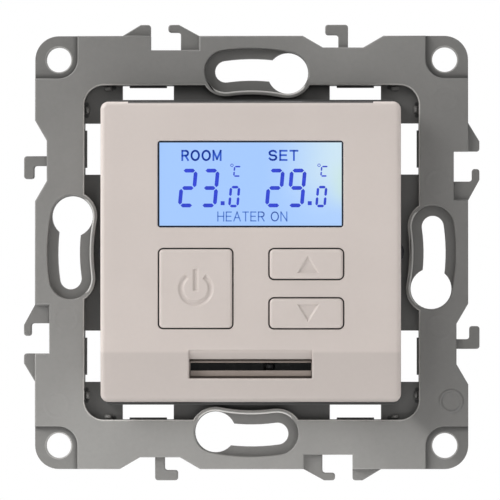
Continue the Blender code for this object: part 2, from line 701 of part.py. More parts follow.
def make_key(name, key):
    """A key: cap in the cover's opening, flange behind the cover, stem on the switch."""
    x, z, width, height, corner = key
    centre = (x, z)
    mesh_data = bmesh.new()
    cap = rectangle(width - 2 * KEY_GAP, height - 2 * KEY_GAP, corner - KEY_GAP, centre)
    add_prism(mesh_data, cap, KEY_FRONT_Y, KEY_FLANGE_Y + KEY_FLANGE_THICKNESS / 2)
    rim = [edge for edge in mesh_data.edges
           if all(near(v.co.y, KEY_FRONT_Y) for v in edge.verts)]
    bmesh.ops.bevel(mesh_data, geom=rim, offset=KEY_FILLET, segments=2, profile=0.5,
                    affect="EDGES")
    button = solid(f"{name}_button", mesh_data, "ivory", (x, KEY_FRONT_Y, z))
    grow = 2 * KEY_FLANGE
    flange = rectangle(width + grow, height + grow, corner, centre, 2)
    join(button, flange, KEY_FLANGE_Y, KEY_BACK_Y, "flange")
    stem_end = PLUNGER_FRONT_Y - GAP
    join(button, circle(centre, KEY_STEM_RADIUS, 12), KEY_FLANGE_Y + GAP, stem_end, "stem")
    marks = key_mark(name, centre)
    cut(button, marks, KEY_FRONT_Y - OVERCUT, KEY_FRONT_Y + KEY_MARK_DEPTH, "mark")
    return button


def make_switch(name, key):
    """The key switch on the display board, and the plunger that moves in its bore."""
    centre = key[:2]
    outline = rectangle(SWITCH_SIZE, SWITCH_SIZE, 0.4, centre, 1)
    origin = (centre[0], ON_BOARD_Y, centre[1])
    switch = prism(f"{name}_switch", outline, SWITCH_FRONT_Y, ON_BOARD_Y, "black_plastic", origin)
    bore = circle(centre, SWITCH_BORE, 12)
    bore_floor = ON_BOARD_Y - GAP
    cut(switch, bore, SWITCH_FRONT_Y - OVERCUT, bore_floor, "bore")
    profile = [(PLUNGER_FRONT_Y, PLUNGER_RADIUS - 0.2),
               (PLUNGER_FRONT_Y + 0.2, PLUNGER_RADIUS),
               (PLUNGER_FRONT_Y + PLUNGER_LENGTH, PLUNGER_RADIUS)]
    turned(f"{name}_plunger", profile, centre, "white_plastic", 12, PLUNGER_FRONT_Y)


# ---- display stack --------------------------------------------------------

def make_display():
    """Glass, holder, light guide, backlight and the contact strip behind the window."""
    window_low = WINDOW_CENTRE_Z - DISPLAY_HEIGHT / 2
    window_high = WINDOW_CENTRE_Z + DISPLAY_HEIGHT / 2
    plate_low, plate_high = window_low - GLASS_FOOT, window_high + GLASS_LEDGE
    plate_width = DISPLAY_WIDTH + 2 * GLASS_MARGIN
    plate_centre = (0, (plate_low + plate_high) / 2)
    view = rectangle(DISPLAY_WIDTH - 2 * KEY_GAP, DISPLAY_HEIGHT - 2 * KEY_GAP, DISPLAY_CORNER,
                     (0, WINDOW_CENTRE_Z), 2)
    glass = prism("lcd_glass", view, GLASS_FRONT_Y, GLASS_BACK_Y - GAP, "display_blue",
                  (0, GLASS_FRONT_Y, WINDOW_CENTRE_Z))
    plate = rectangle(plate_width, plate_high - plate_low, centre=plate_centre)
    join(glass, plate, GLASS_PLATE_Y, GLASS_BACK_Y, "plate")

    inner = (plate_width + 2 * GAP, plate_high - plate_low + 2 * GAP)
    outer = (inner[0] + 2 * HOLDER_WALL, inner[1] + 2 * HOLDER_WALL)
    holder = prism("lcd_holder", rectangle(*outer, centre=plate_centre), GLASS_PLATE_Y,
                   ON_BOARD_Y, "white_plastic", (0, GLASS_PLATE_Y, plate_centre[1]))
    cut(holder, rectangle(*inner, centre=plate_centre), GLASS_PLATE_Y - OVERCUT,
        ON_BOARD_Y + OVERCUT, "well")

    behind = GLASS_BACK_Y + GAP
    strip_top = plate_high - GAP
    strip_low = strip_top - STRIP_HEIGHT
    box("contact_strip", (-DISPLAY_WIDTH / 2, DISPLAY_WIDTH / 2), (behind, ON_BOARD_Y),
        (strip_low, strip_top), "rubber_grey")
    guide_half = DISPLAY_WIDTH / 2 - GUIDE_MARGIN
    guide_low, guide_high = plate_low + GUIDE_MARGIN, strip_low - GAP
    box("light_guide", (-guide_half, guide_half), (behind, ON_BOARD_Y), (guide_low, guide_high),
        "clear_plastic", 0.15)
    led_width, led_depth, led_height = LED_SIZE
    for name, side in (("left", -1), ("right", 1)):
        edge = side * (guide_half + GAP)
        limits = sorted((edge, edge + side * led_width))
        box(f"backlight_led_{name}", limits, (ON_BOARD_Y - led_depth, ON_BOARD_Y),
            around(WINDOW_CENTRE_Z, led_height), "white_plastic")


def board_screw_places():
    """Centres of the four screws of the display board."""
    return [(side * BOARD_SCREW_X, end * BOARD_SCREW_Z) for end in (1, -1) for side in (-1, 1)]


def make_display_board():
    """The display board with its chip, air sensor and four screws."""
    outline = rectangle(BOARD_WIDTH, BOARD_HEIGHT, 1.0, steps=2)
    board = prism("display_board", outline, BOARD_FRONT_Y, BOARD_BACK_Y, "board_green",
                  (0, BOARD_FRONT_Y, 0))
    hole = BOARD_SCREW_SHANK + GAP
    holes = [circle(place, hole, 12) for place in board_screw_places()]
    cut(board, holes, BOARD_FRONT_Y - OVERCUT, BOARD_BACK_Y + OVERCUT, "holes")
    for number, place in enumerate(board_screw_places(), 1):
        screw(f"display_board_screw_{number}", place, ON_BOARD_Y, (BOARD_SCREW_HEAD, 0.9),
              (BOARD_SCREW_SHANK, 3.2), "plated_steel")
    box("microcontroller", around(0, CHIP_SIZE), (ON_BOARD_Y - CHIP_THICKNESS, ON_BOARD_Y),
        around(CHIP_Z, CHIP_SIZE), "black_plastic", 0.15)
    bead = SENSOR_BEAD_RADIUS
    bead_y = -LOUVRE_FRONT + LOUVRE_THICKNESS + bead + 0.4
    profile = [(bead_y - bead, 0.25 * bead), (bead_y - 0.7 * bead, 0.7 * bead), (bead_y, bead),
               (bead_y + 0.7 * bead, 0.7 * bead), (bead_y + 0.9 * bead, SENSOR_LEAD_RADIUS),
               (ON_BOARD_Y, SENSOR_LEAD_RADIUS)]
    sensor_z = (LOUVRE_SLOT_TOP + LOUVRE_SLOT_BOTTOM) / 2
    turned("air_sensor", profile, (SENSOR_X, sensor_z), "black_plastic", 10, ON_BOARD_Y)


def make_vent_louvre():
    """The barred plate behind the vent opening."""
    width = VENT_WIDTH + 2.2
    outline = span(-width / 2, width / 2, VENT_BOTTOM - 1.35, VENT_TOP - 0.7)
    louvre = prism("vent_louvre", outline, -LOUVRE_FRONT, -LOUVRE_FRONT + LOUVRE_THICKNESS,
                   "louvre_brown", (0, -LOUVRE_FRONT, (VENT_TOP + VENT_BOTTOM) / 2))
    half = VENT_WIDTH / 2 + GAP
    slot = span(-half, half, LOUVRE_SLOT_BOTTOM, LOUVRE_SLOT_TOP)
    cut(louvre, slot, -LOUVRE_FRONT - OVERCUT, OVERCUT - LOUVRE_FRONT + LOUVRE_THICKNESS, "slot")


# ---- carrier --------------------------------------------------------------

def housing_screw_places():
    """Centres of the four screws that hold the rear housing."""
    offset = HOUSING_SCREW_OFFSET
    return [(side * offset, end * offset) for end in (1, -1) for side in (-1, 1)]


def make_carrier():
    """The dark carrier: a tray between the cover and the frame's floor."""
    rim_front = COVER_REAR_Y + GAP
    outline = rectangle(CARRIER_WIDTH, CARRIER_HEIGHT, CARRIER_CORNER)
    carrier = prism("carrier", outline, rim_front, CARRIER_BACK_Y, "dark_plastic")
    inner = rectangle(CARRIER_WIDTH - 2 * CARRIER_RIM, CARRIER_HEIGHT - 2 * CARRIER_RIM, 1.0)
    cut(carrier, inner, rim_front - OVERCUT, CARRIER_FRONT_Y, "tray")
    posts = [circle(place, HOUSING_POST_RADIUS, 14) for place in housing_screw_places()]
    post_end = HOUSING_STEP - HOUSING_WALL - 0.2 - GAP
    join(carrier, posts, CARRIER_BACK_Y - 0.5, post_end, "posts")
    pilots = [circle(place, HOUSING_SCREW_SHANK + GAP, 12) for place in housing_screw_places()]
    cut(carrier, pilots, rim_front - OVERCUT, post_end + OVERCUT, "pilots")
    sides = [(side * CARRIER_SCREW_X, 0) for side in (-1, 1)]
    seats = [circle(place, CARRIER_SCREW_HEAD + GAP, 16) for place in sides]
    cut(carrier, seats, rim_front - OVERCUT, CARRIER_FRONT_Y, "screw_seats")
    through = [circle(place, CARRIER_SCREW_SHANK + KEY_GAP, 12) for place in sides]
    through += [circle(place, BOARD_SCREW_SHANK + GAP, 12) for place in board_screw_places()]
    through.append(rectangle(HEADER_SIZE[0] + 2 * GAP, HEADER_SIZE[1] + 2 * GAP,
                             centre=(0, HEADER_Z)))
    through += [rectangle(TAB_WIDTH + 2 * GAP, TAB_THICKNESS + 2 * GAP,
                          centre=(side * TAB_OFFSET, end * tab_centre()))
                for side in (-1, 1) for end in (-1, 1)]
    cut(carrier, through, rim_front - OVERCUT, CARRIER_BACK_Y + OVERCUT, "through_holes")
    for name, place in zip(("left", "right"), sides):
        screw(f"carrier_screw_{name}", place, CARRIER_FRONT_Y - GAP, (CARRIER_SCREW_HEAD, 1.1),
              (CARRIER_SCREW_SHANK, 5.2), "black_steel")


# ---- rear housing and what it holds ---------------------------------------

def make_back_housing():
    """The rear box: square at the wall, with screw recesses in its rear corners."""
    front = FLOOR_Y
    inner_size = HOUSING_SIZE - 2 * HOUSING_WALL
    inner_arm = HOUSING_ARM - 2 * HOUSING_WALL
    ear = HOUSING_STEP - HOUSING_WALL - 0.2
    housing = prism("back_housing", rectangle(HOUSING_SIZE, HOUSING_SIZE, HOUSING_CORNER), front,
                    HOUSING_STEP, "housing_grey")
    join(housing, cross(HOUSING_SIZE, HOUSING_ARM), ear, HOUSING_DEPTH, "rear_body")
    cut(housing, rectangle(inner_size, inner_size, 0.8), front - OVERCUT, ear, "hollow")
    cut(housing, cross(inner_size, inner_arm), ear - OVERCUT, HOUSING_DEPTH - HOUSING_WALL,
        "rear_hollow")
    notch = span(-inner_arm / 2, inner_arm / 2, -HOUSING_HALF - OVERCUT, BLOCK_TOP_Z + GAP)
    cut(housing, notch, BLOCK_STEP_Y + GAP, HOUSING_DEPTH + OVERCUT, "terminal_notch")
    holes = [circle(place, HOUSING_SCREW_SHANK + GAP, 12) for place in housing_screw_places()]
    cut(housing, holes, ear - OVERCUT, HOUSING_STEP + OVERCUT, "screw_holes")
    first = -(VENT_SLIT_COUNT - 1) / 2
    slits = [rectangle(*VENT_SLIT, 0.4, ((first + i) * VENT_SLIT_PITCH, VENT_SLIT_Z), 1)
             for i in range(VENT_SLIT_COUNT)]
    cut(housing, slits, HOUSING_DEPTH - HOUSING_WALL - OVERCUT, HOUSING_DEPTH + OVERCUT, "slits")
    for number, place in enumerate(housing_screw_places(), 1):
        screw(f"housing_screw_{number}", place, HOUSING_STEP + GAP, (HOUSING_SCREW_HEAD, 1.2),
              (HOUSING_SCREW_SHANK, HOUSING_SCREW_LENGTH), "plated_steel", direction=-1)


def make_power_board():
    """The mains board in the rear housing, and the parts that stand on it."""
    size = HOUSING_SIZE - 2 * HOUSING_WALL - 2 * GAP
    arm = 2 * (HOUSING_SCREW_OFFSET - HOUSING_POST_RADIUS - GAP)
    prism("power_board", cross(size, arm), POWER_BOARD_FRONT, POWER_BOARD_BACK_Y, "board_green",
          (0, POWER_BOARD_BACK_Y, 0))
    header_front, header_back = BOARD_BACK_Y + GAP, POWER_BOARD_FRONT - GAP
    box("board_header", around(0, HEADER_SIZE[0]), (header_front, header_back),
        around(HEADER_Z, HEADER_SIZE[1]), "black_plastic")
    parts = {
        "relay": (RELAY, "relay_blue"),
        "film_capacitor": (FILM_CAPACITOR, "capacitor_yellow"),
        "transformer": (TRANSFORMER, "black_plastic"),
        "varistor": (VARISTOR, "varistor_blue"),
        "fuse": (FUSE, "black_plastic"),
    }
    for name, ((x_range, z_range, height), finish) in parts.items():
        levels = (ON_POWER_BOARD_Y, ON_POWER_BOARD_Y + height)
        box(name, x_range, levels, z_range, finish, 0.5)
    x, z, radius, height = ELECTROLYTIC
    top = ON_POWER_BOARD_Y + height
    profile = [(ON_POWER_BOARD_Y, radius - 0.4), (ON_POWER_BOARD_Y + 0.8, radius - 0.4),
               (ON_POWER_BOARD_Y + 1.4, radius), (top - 0.4, radius), (top, radius - 0.4)]
    turned("electrolytic_capacitor", profile, (x, z), "black_plastic", 18, ON_POWER_BOARD_Y)


def terminal_places():
    """Centres x of the terminals, from left to right."""
    first = -(TERMINAL_COUNT - 1) / 2
    return [(first + i) * TERMINAL_PITCH for i in range(TERMINAL_COUNT)]


def make_terminal_block():
    """The terminal block: wires enter from below, the screws face the rear."""
    foot_low = -HOUSING_HALF + HOUSING_WALL + GAP
    rear_low = -HOUSING_HALF
    half = BLOCK_WIDTH / 2
    block = prism("terminal_block", span(-half, half, foot_low, BLOCK_TOP_Z), ON_POWER_BOARD_Y,
                  BLOCK_STEP_Y + 1.5, "terminal_green")
    body = span(-half, half, rear_low, BLOCK_TOP_Z)
    join(block, body, BLOCK_STEP_Y + 2 * GAP, BLOCK_REAR_Y, "body")
    chambers = [span(x - CHAMBER_WIDTH / 2, x + CHAMBER_WIDTH / 2, rear_low - OVERCUT,
                     CHAMBER_TOP_Z) for x in terminal_places()]
    cut(block, chambers, CHAMBER_FRONT, CHAMBER_REAR_Y, "chambers")
    centres = [(x, TERMINAL_SCREW_Z) for x in terminal_places()]
    wells = [circle(place, TERMINAL_HEAD + GAP, 16) for place in centres]
    cut(block, wells, WELL_FLOOR_Y, BLOCK_REAR_Y + OVERCUT, "wells")
    bores = [circle(place, TERMINAL_SHANK + GAP, 12) for place in centres]
    cut(block, bores, CHAMBER_REAR_Y - 0.5, WELL_FLOOR_Y + 0.5, "bores")


def make_terminal(number, x):
    """A captive terminal screw, and the rising clamp that its thread carries."""
    centre = (x, TERMINAL_SCREW_Z)
    seat = WELL_FLOOR_Y + GAP
    screw(f"terminal_screw_{number}", centre, seat, (TERMINAL_HEAD, TERMINAL_HEAD_HEIGHT),
          (TERMINAL_SHANK, TERMINAL_SHANK_LENGTH), "plated_steel", direction=-1, drive="slot")
    nut_front = CLAMP_REAR_Y - CLAMP_NUT
    floor_rear = nut_front - CLAMP_HEIGHT
    floor_front = floor_rear - CLAMP_FLOOR
    length = around(TERMINAL_SCREW_Z, CLAMP_LENGTH)
    outline = span(x - CLAMP_WIDTH / 2, x + CLAMP_WIDTH / 2, *length)
    clamp = prism(f"terminal_clamp_{number}", outline, floor_front, CLAMP_REAR_Y, "plated_steel",
                  (x, CLAMP_REAR_Y, TERMINAL_SCREW_Z))
    inside = CLAMP_WIDTH / 2 - CLAMP_WALL
    passage = span(x - inside, x + inside, length[0] - OVERCUT, length[1] + OVERCUT)
    cut(clamp, passage, floor_rear, nut_front, "passage")
    thread = circle(centre, TERMINAL_SHANK + GAP, 12)
    cut(clamp, thread, nut_front - 0.5, CLAMP_REAR_Y + OVERCUT, "thread")


def main():
    for old in list(bpy.data.objects):
        bpy.data.objects.remove(old, do_unlink=True)
    make_mounting_frame()
    make_front_cover()
    for name, key in KEYS.items():
        make_key(name, key)
        make_switch(name, key)
    make_display()
    make_display_board()
    make_vent_louvre()
    make_carrier()
    make_back_housing()
    make_power_board()
    make_terminal_block()
    for number, x in enumerate(terminal_places(), 1):
        make_terminal(number, x)
    root = bpy.data.objects.new("thermostat", None)
    bpy.context.scene.collection.objects.link(root)
    for piece in bpy.data.objects:
        if piece is not root:
            piece.parent = root


main()
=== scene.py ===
"""Looks of the flush wall thermostat: ivory front unit in a grey mounting frame.

Lengths are in millimetres and become metres through MM. The front faces -Y, +Z is up.
"""
import json
import math

import bmesh
import bpy
import numpy as np
from mathutils import Matrix, Vector
from mathutils.geometry import delaunay_2d_cdt


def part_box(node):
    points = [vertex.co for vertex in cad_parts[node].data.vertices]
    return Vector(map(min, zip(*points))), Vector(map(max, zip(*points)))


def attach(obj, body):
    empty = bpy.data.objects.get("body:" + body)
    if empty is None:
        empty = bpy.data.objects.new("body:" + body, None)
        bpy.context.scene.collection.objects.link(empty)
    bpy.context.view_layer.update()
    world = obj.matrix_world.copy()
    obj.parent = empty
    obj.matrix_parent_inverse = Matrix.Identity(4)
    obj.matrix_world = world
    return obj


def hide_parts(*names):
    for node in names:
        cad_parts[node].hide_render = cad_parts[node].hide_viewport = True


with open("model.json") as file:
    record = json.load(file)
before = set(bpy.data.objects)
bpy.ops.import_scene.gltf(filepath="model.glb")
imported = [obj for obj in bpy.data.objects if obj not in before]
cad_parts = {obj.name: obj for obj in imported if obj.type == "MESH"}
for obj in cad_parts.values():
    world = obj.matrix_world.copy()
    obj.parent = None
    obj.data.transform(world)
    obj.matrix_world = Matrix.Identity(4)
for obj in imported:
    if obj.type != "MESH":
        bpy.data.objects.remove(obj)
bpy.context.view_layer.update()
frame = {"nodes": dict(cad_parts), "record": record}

MM = 0.001
BODY = "thermostat_body"
WELD = 1e-4               # points nearer than this are one
SHARP = 35                # degrees between faces that meet in a hard edge
LEAN_SLOPE = 0.8 / 8.1
# Directions of the flat faces, which are shaded flat.
FLAT_WAYS = ((1, 0, 0), (-1, 0, 0), (0, 1, 0), (0, -1, 0), (0, 0, 1), (0, 0, -1),
             (0, -1 / math.hypot(1, LEAN_SLOPE), -LEAN_SLOPE / math.hypot(1, LEAN_SLOPE)))


def node_box(name):
    """Lowest and highest corner of a CAD node, in millimetres."""
    low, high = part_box(name)
    return np.array(low) / MM, np.array(high) / MM


# ---- places and sizes read from the frame ---------------------------------

PLATE_LOW, PLATE_HIGH = node_box("mounting_frame")
COVER_LOW, COVER_HIGH = node_box("front_cover")
GLASS_LOW, GLASS_HIGH = node_box("lcd_glass")
PLATE_FRONT = PLATE_LOW[1]
HOOK_FRONT = -2.6
FLOOR_LEVEL = -1.4
PAD_LEVEL = -2.5
PAD_REACH = 3.1           # pad's wall to the hole's centre
HOLE_AT = 31.65
OPENING_HALF = 27.4
COVER_FRONT = COVER_LOW[1]
COVER_SIZE = COVER_HIGH[0] - COVER_LOW[0]

# ---- sizes of the cover's own detail --------------------------------------

COVER_REAR = -4.8
COVER_CORNER = 1.3
COVER_FILLET = 0.85
CROWN = 0.05              # how far the face falls off towards the fillet
CROWN_WIDTH = 1.3
COVER_WALL = 1.2
FACE_WALL = 1.3
CREASE_Z = -16.4
CREASE_SOFT = 0.35
RIM_ROUND = 0.14
BEZEL_TOP, BEZEL_BOTTOM, BEZEL_RISE = -17.72, -20.36, 0.5
SLOT_WIDTH, SLOT_TOP, SLOT_BOTTOM = 20.0, -18.1, -19.36
VENT_RIM = 0.3
EDGE_SHADE = 0.3                # width of the painted shade along the display's edge inside its window
DISPLAY_GAP = 0.05
WINDOW = (0.0, 11.015, 30.3, 14.15, 0.5)
VENT_TOP, VENT_BOTTOM, VENT_WIDTH, VENT_SLOPE = -16.1, -20.65, 20.0, 1.4
KEYS = {
    "power": (-8.93, -6.02, 12.33, 13.24, 0.85),
    "up": (9.1, -2.03, 12.38, 5.26, 0.95),
    "down": (9.1, -10.06, 12.38, 5.26, 0.95),
}
KEY_GAP = 0.19
KEY_ROUND = 0.5
MARK_DEPTH = 0.3
MARK_REACH = {"power": 3.4, "up": 2.6, "down": 2.6}
KEY_FRONT = node_box("power_button")[0][1]
KEY_FLANGE = 0.8          # flange beyond the key's side
KEY_FLANGE_BACK = 1.0     # flange's front to the stem's end
KEY_FLANGE_DEPTH = 0.5
KEY_STEM = 1.5


# ---- shader maths ---------------------------------------------------------

class Wire:
    """A socket in a material's tree; arithmetic on it adds Math nodes."""

    def __init__(self, finish, socket):
        self.finish = finish
        self.socket = socket

    def math(self, operation, *values):
        return self.finish.node("ShaderNodeMath", {"operation": operation}, dict(enumerate(values)))

    def __add__(self, other):
        return self.math("ADD", self, other)

    def __radd__(self, other):
        return self.math("ADD", other, self)

    def __sub__(self, other):
        return self.math("SUBTRACT", self, other)

    def __rsub__(self, other):
        return self.math("SUBTRACT", other, self)

    def __mul__(self, other):
        return self.math("MULTIPLY", self, other)

    def __rmul__(self, other):
        return self.math("MULTIPLY", other, self)

    def __truediv__(self, other):
        return self.math("DIVIDE", self, other)

    def __pow__(self, other):
        return self.math("POWER", self, other)

    def part(self, name):
        """One component, X, Y or Z, of a vector."""
        return self.finish.node("ShaderNodeSeparateXYZ", {}, {"Vector": self}, name)

    def ramp(self, low, high, to_low=0.0, to_high=1.0):
        """Smooth change from to_low at low to to_high at high."""
        settings = {"interpolation_type": "SMOOTHSTEP"}
        values = {"Value": self, "From Min": low, "From Max": high, "To Min": to_low,
                  "To Max": to_high}
        return self.finish.node("ShaderNodeMapRange", settings, values)


class Wiring:
    """A node tree, with wires added to it."""

    def __init__(self, tree):
        self.tree = tree

    def node(self, kind, settings=None, values=None, output=0):
        """Add a node: its type, its settings, then its sockets' values or links."""
        made = self.tree.nodes.new(kind)
        for name, value in (settings or {}).items():
            setattr(made, name, value)
        for key, value in (values or {}).items():
            self.plug(made.inputs[key], value)
        return Wire(self, made.outputs[output])

    def plug(self, socket, value):
        """Link a wire to a socket, or set the socket's value."""
        if isinstance(value, Wire):
            self.tree.links.new(value.socket, socket)
        else:
            socket.default_value = value


class Finish(Wiring):
    """A material with a Principled shader, built from wires."""

    def __init__(self, name, **constants):
        self.material = bpy.data.materials.new(name)
        self.material.use_nodes = True
        super().__init__(self.material.node_tree)
        self.shader = self.tree.nodes["Principled BSDF"]
        for socket, value in constants.items():
            self.shader.inputs[socket.replace("_", " ")].default_value = value

    def set(self, **wires):
        """Link wires to the shader's sockets, with _ for a space in a name."""
        for name, wire in wires.items():
            self.plug(self.shader.inputs[name.replace("_", " ")], wire)
        return self

    def place(self):
        """Object coordinates."""
        return self.node("ShaderNodeTexCoord", output="Object")

    def noise(self, scale, detail=4.0, roughness=0.55, place=None):
        """Fractal noise from 0 to 1, scale in features per metre."""
        values = {"Vector": place or self.place(), "Scale": scale, "Detail": detail,
                  "Roughness": roughness}
        return self.node("ShaderNodeTexNoise", {}, values)

    def blend(self, factor, first, second):
        """Mix two colours by a factor."""
        mix = self.tree.nodes.new("ShaderNodeMix")
        mix.data_type = "RGBA"
        self.plug(mix.inputs[0], factor)
        for socket, colour in ((mix.inputs[6], first), (mix.inputs[7], second)):
            self.plug(socket, colour if isinstance(colour, Wire) else (*colour, 1.0))
        return Wire(self, mix.outputs[2])

    def bump(self, height, strength, distance):
        """A bumped normal; height is a wire, distance is in millimetres."""
        values = {"Height": height, "Strength": strength, "Distance": distance * MM}
        return self.node("ShaderNodeBump", {}, values)


def moulded(name, colour, roughness, grain=0.012, mottle=0.06, grain_size=0.25, coat=0.0):
    """Moulded plastic: faint mottling, spark-eroded grain and uneven sheen."""
    finish = Finish(name, Coat_Weight=coat, Coat_Roughness=0.25)
    pale = tuple(min(1.0, c * (1 + mottle)) for c in colour)
    deep = tuple(c * (1 - mottle) for c in colour)
    cloud = finish.noise(55.0, 3.0)
    speck = finish.noise(1400.0, 2.0)
    tone = (cloud * 0.75 + speck * 0.25).ramp(0.3, 0.7)
    sheen = finish.noise(240.0, 3.0).ramp(0.3, 0.7, roughness - 0.05, roughness + 0.05)
    texture = finish.noise(1000.0 / grain_size, 3.0, 0.6)
    finish.set(Base_Color=finish.blend(tone, deep, pale), Roughness=sheen,
               Normal=finish.bump(texture, 0.6, grain))
    return finish.material


def ivory(name, gap_shade_from):
    """Ivory plastic: as moulded plastic, with painted shade towards the lower edge and the
    right, below the crease and round the lower fillet, down inside the narrow gaps and in
    the marks' grooves, and a painted highlight along the vent's lower lip."""
    finish = Finish(name, Coat_Weight=0.15, Coat_Roughness=0.25)
    place = finish.place()
    x, y, z = (place.part(axis) / MM for axis in "XYZ")
    cloud = finish.noise(55.0, 3.0)
    speck = finish.noise(1400.0, 2.0)
    mottle = (cloud * 0.75 + speck * 0.25).ramp(0.3, 0.7, 0.978, 1.02)
    # Painted shade: darker towards the bottom and the right, below the crease and round the lower
    # fillet.
    light_falloff = z.ramp(-18.0, 20.0, 0.925, 1.0) * (x + z * 0.5).ramp(-24.0, 24.0, 1.0, 0.97)
    facet_shade = z.ramp(CREASE_Z - 0.3, CREASE_Z + 0.3, 0.86, 1.0)
    foot_shade = z.ramp(-24.6, -23.7, 0.75, 1.0)
    side = x.math("ABSOLUTE", x)
    inside_face = side.math("LESS_THAN", side, 20.0) * z.math("GREATER_THAN", z, -15.0)
    # Painted shade down inside the narrow gaps round the keys and the openings.
    gap_shade = y.ramp(gap_shade_from, gap_shade_from + 0.12, 0.0, 0.9) * inside_face
    # Painted shade in the marks' grooves.
    groove = y.ramp(KEY_FRONT + 0.1, KEY_FRONT + 0.3, 0.0, 0.02)
    marked = None
    for key_x, key_z, *_, reach in ((*KEYS[name], reach) for name, reach in MARK_REACH.items()):
        across, up = x - key_x, z - key_z
        radius = (across * across + up * up) ** 0.5
        near = radius.math("LESS_THAN", radius, reach)
        marked = near if marked is None else marked + near
    # Painted highlight along the vent's lower lip.
    below = z - (VENT_BOTTOM - 0.12)
    lip = below.math("ABSOLUTE", below).ramp(0.1, 0.22, 0.15, 0.0)
    lip = lip * side.math("LESS_THAN", side, VENT_WIDTH / 2)
    level = mottle * light_falloff * facet_shade * foot_shade * (1.0 - gap_shade) * (1.0 - groove * marked)
    level = level * (1.0 + lip)
    colour = finish.node("ShaderNodeVectorMath", {"operation": "SCALE"},
                         {0: IVORY, "Scale": level})
    sheen = finish.noise(240.0, 3.0).ramp(0.3, 0.7, 0.38, 0.46)
    texture = finish.noise(3300.0, 3.0, 0.6)
    finish.set(Base_Color=colour, Roughness=sheen, Normal=finish.bump(texture, 0.6, 0.006))
    return finish.material


def metal(name, colour, roughness, brushed=0.02):
    """Plated metal with fine random scratches and cloudy plating."""
    finish = Finish(name, Metallic=1.0)
    cloud = finish.noise(300.0, 3.0)
    place = finish.node("ShaderNodeMapping", {}, {"Vector": finish.place(),
                                                  "Scale": (9000.0, 600.0, 9000.0)})
    scratches = finish.noise(1.0, 2.0, 0.5, place)
    dull = tuple(c * 0.72 for c in colour)
    finish.set(Base_Color=finish.blend(cloud.ramp(0.35, 0.7), dull, colour),
               Roughness=scratches.ramp(0.3, 0.7, roughness - 0.08, roughness + 0.1),
               Normal=finish.bump(scratches, 0.5, brushed))
    return finish.material


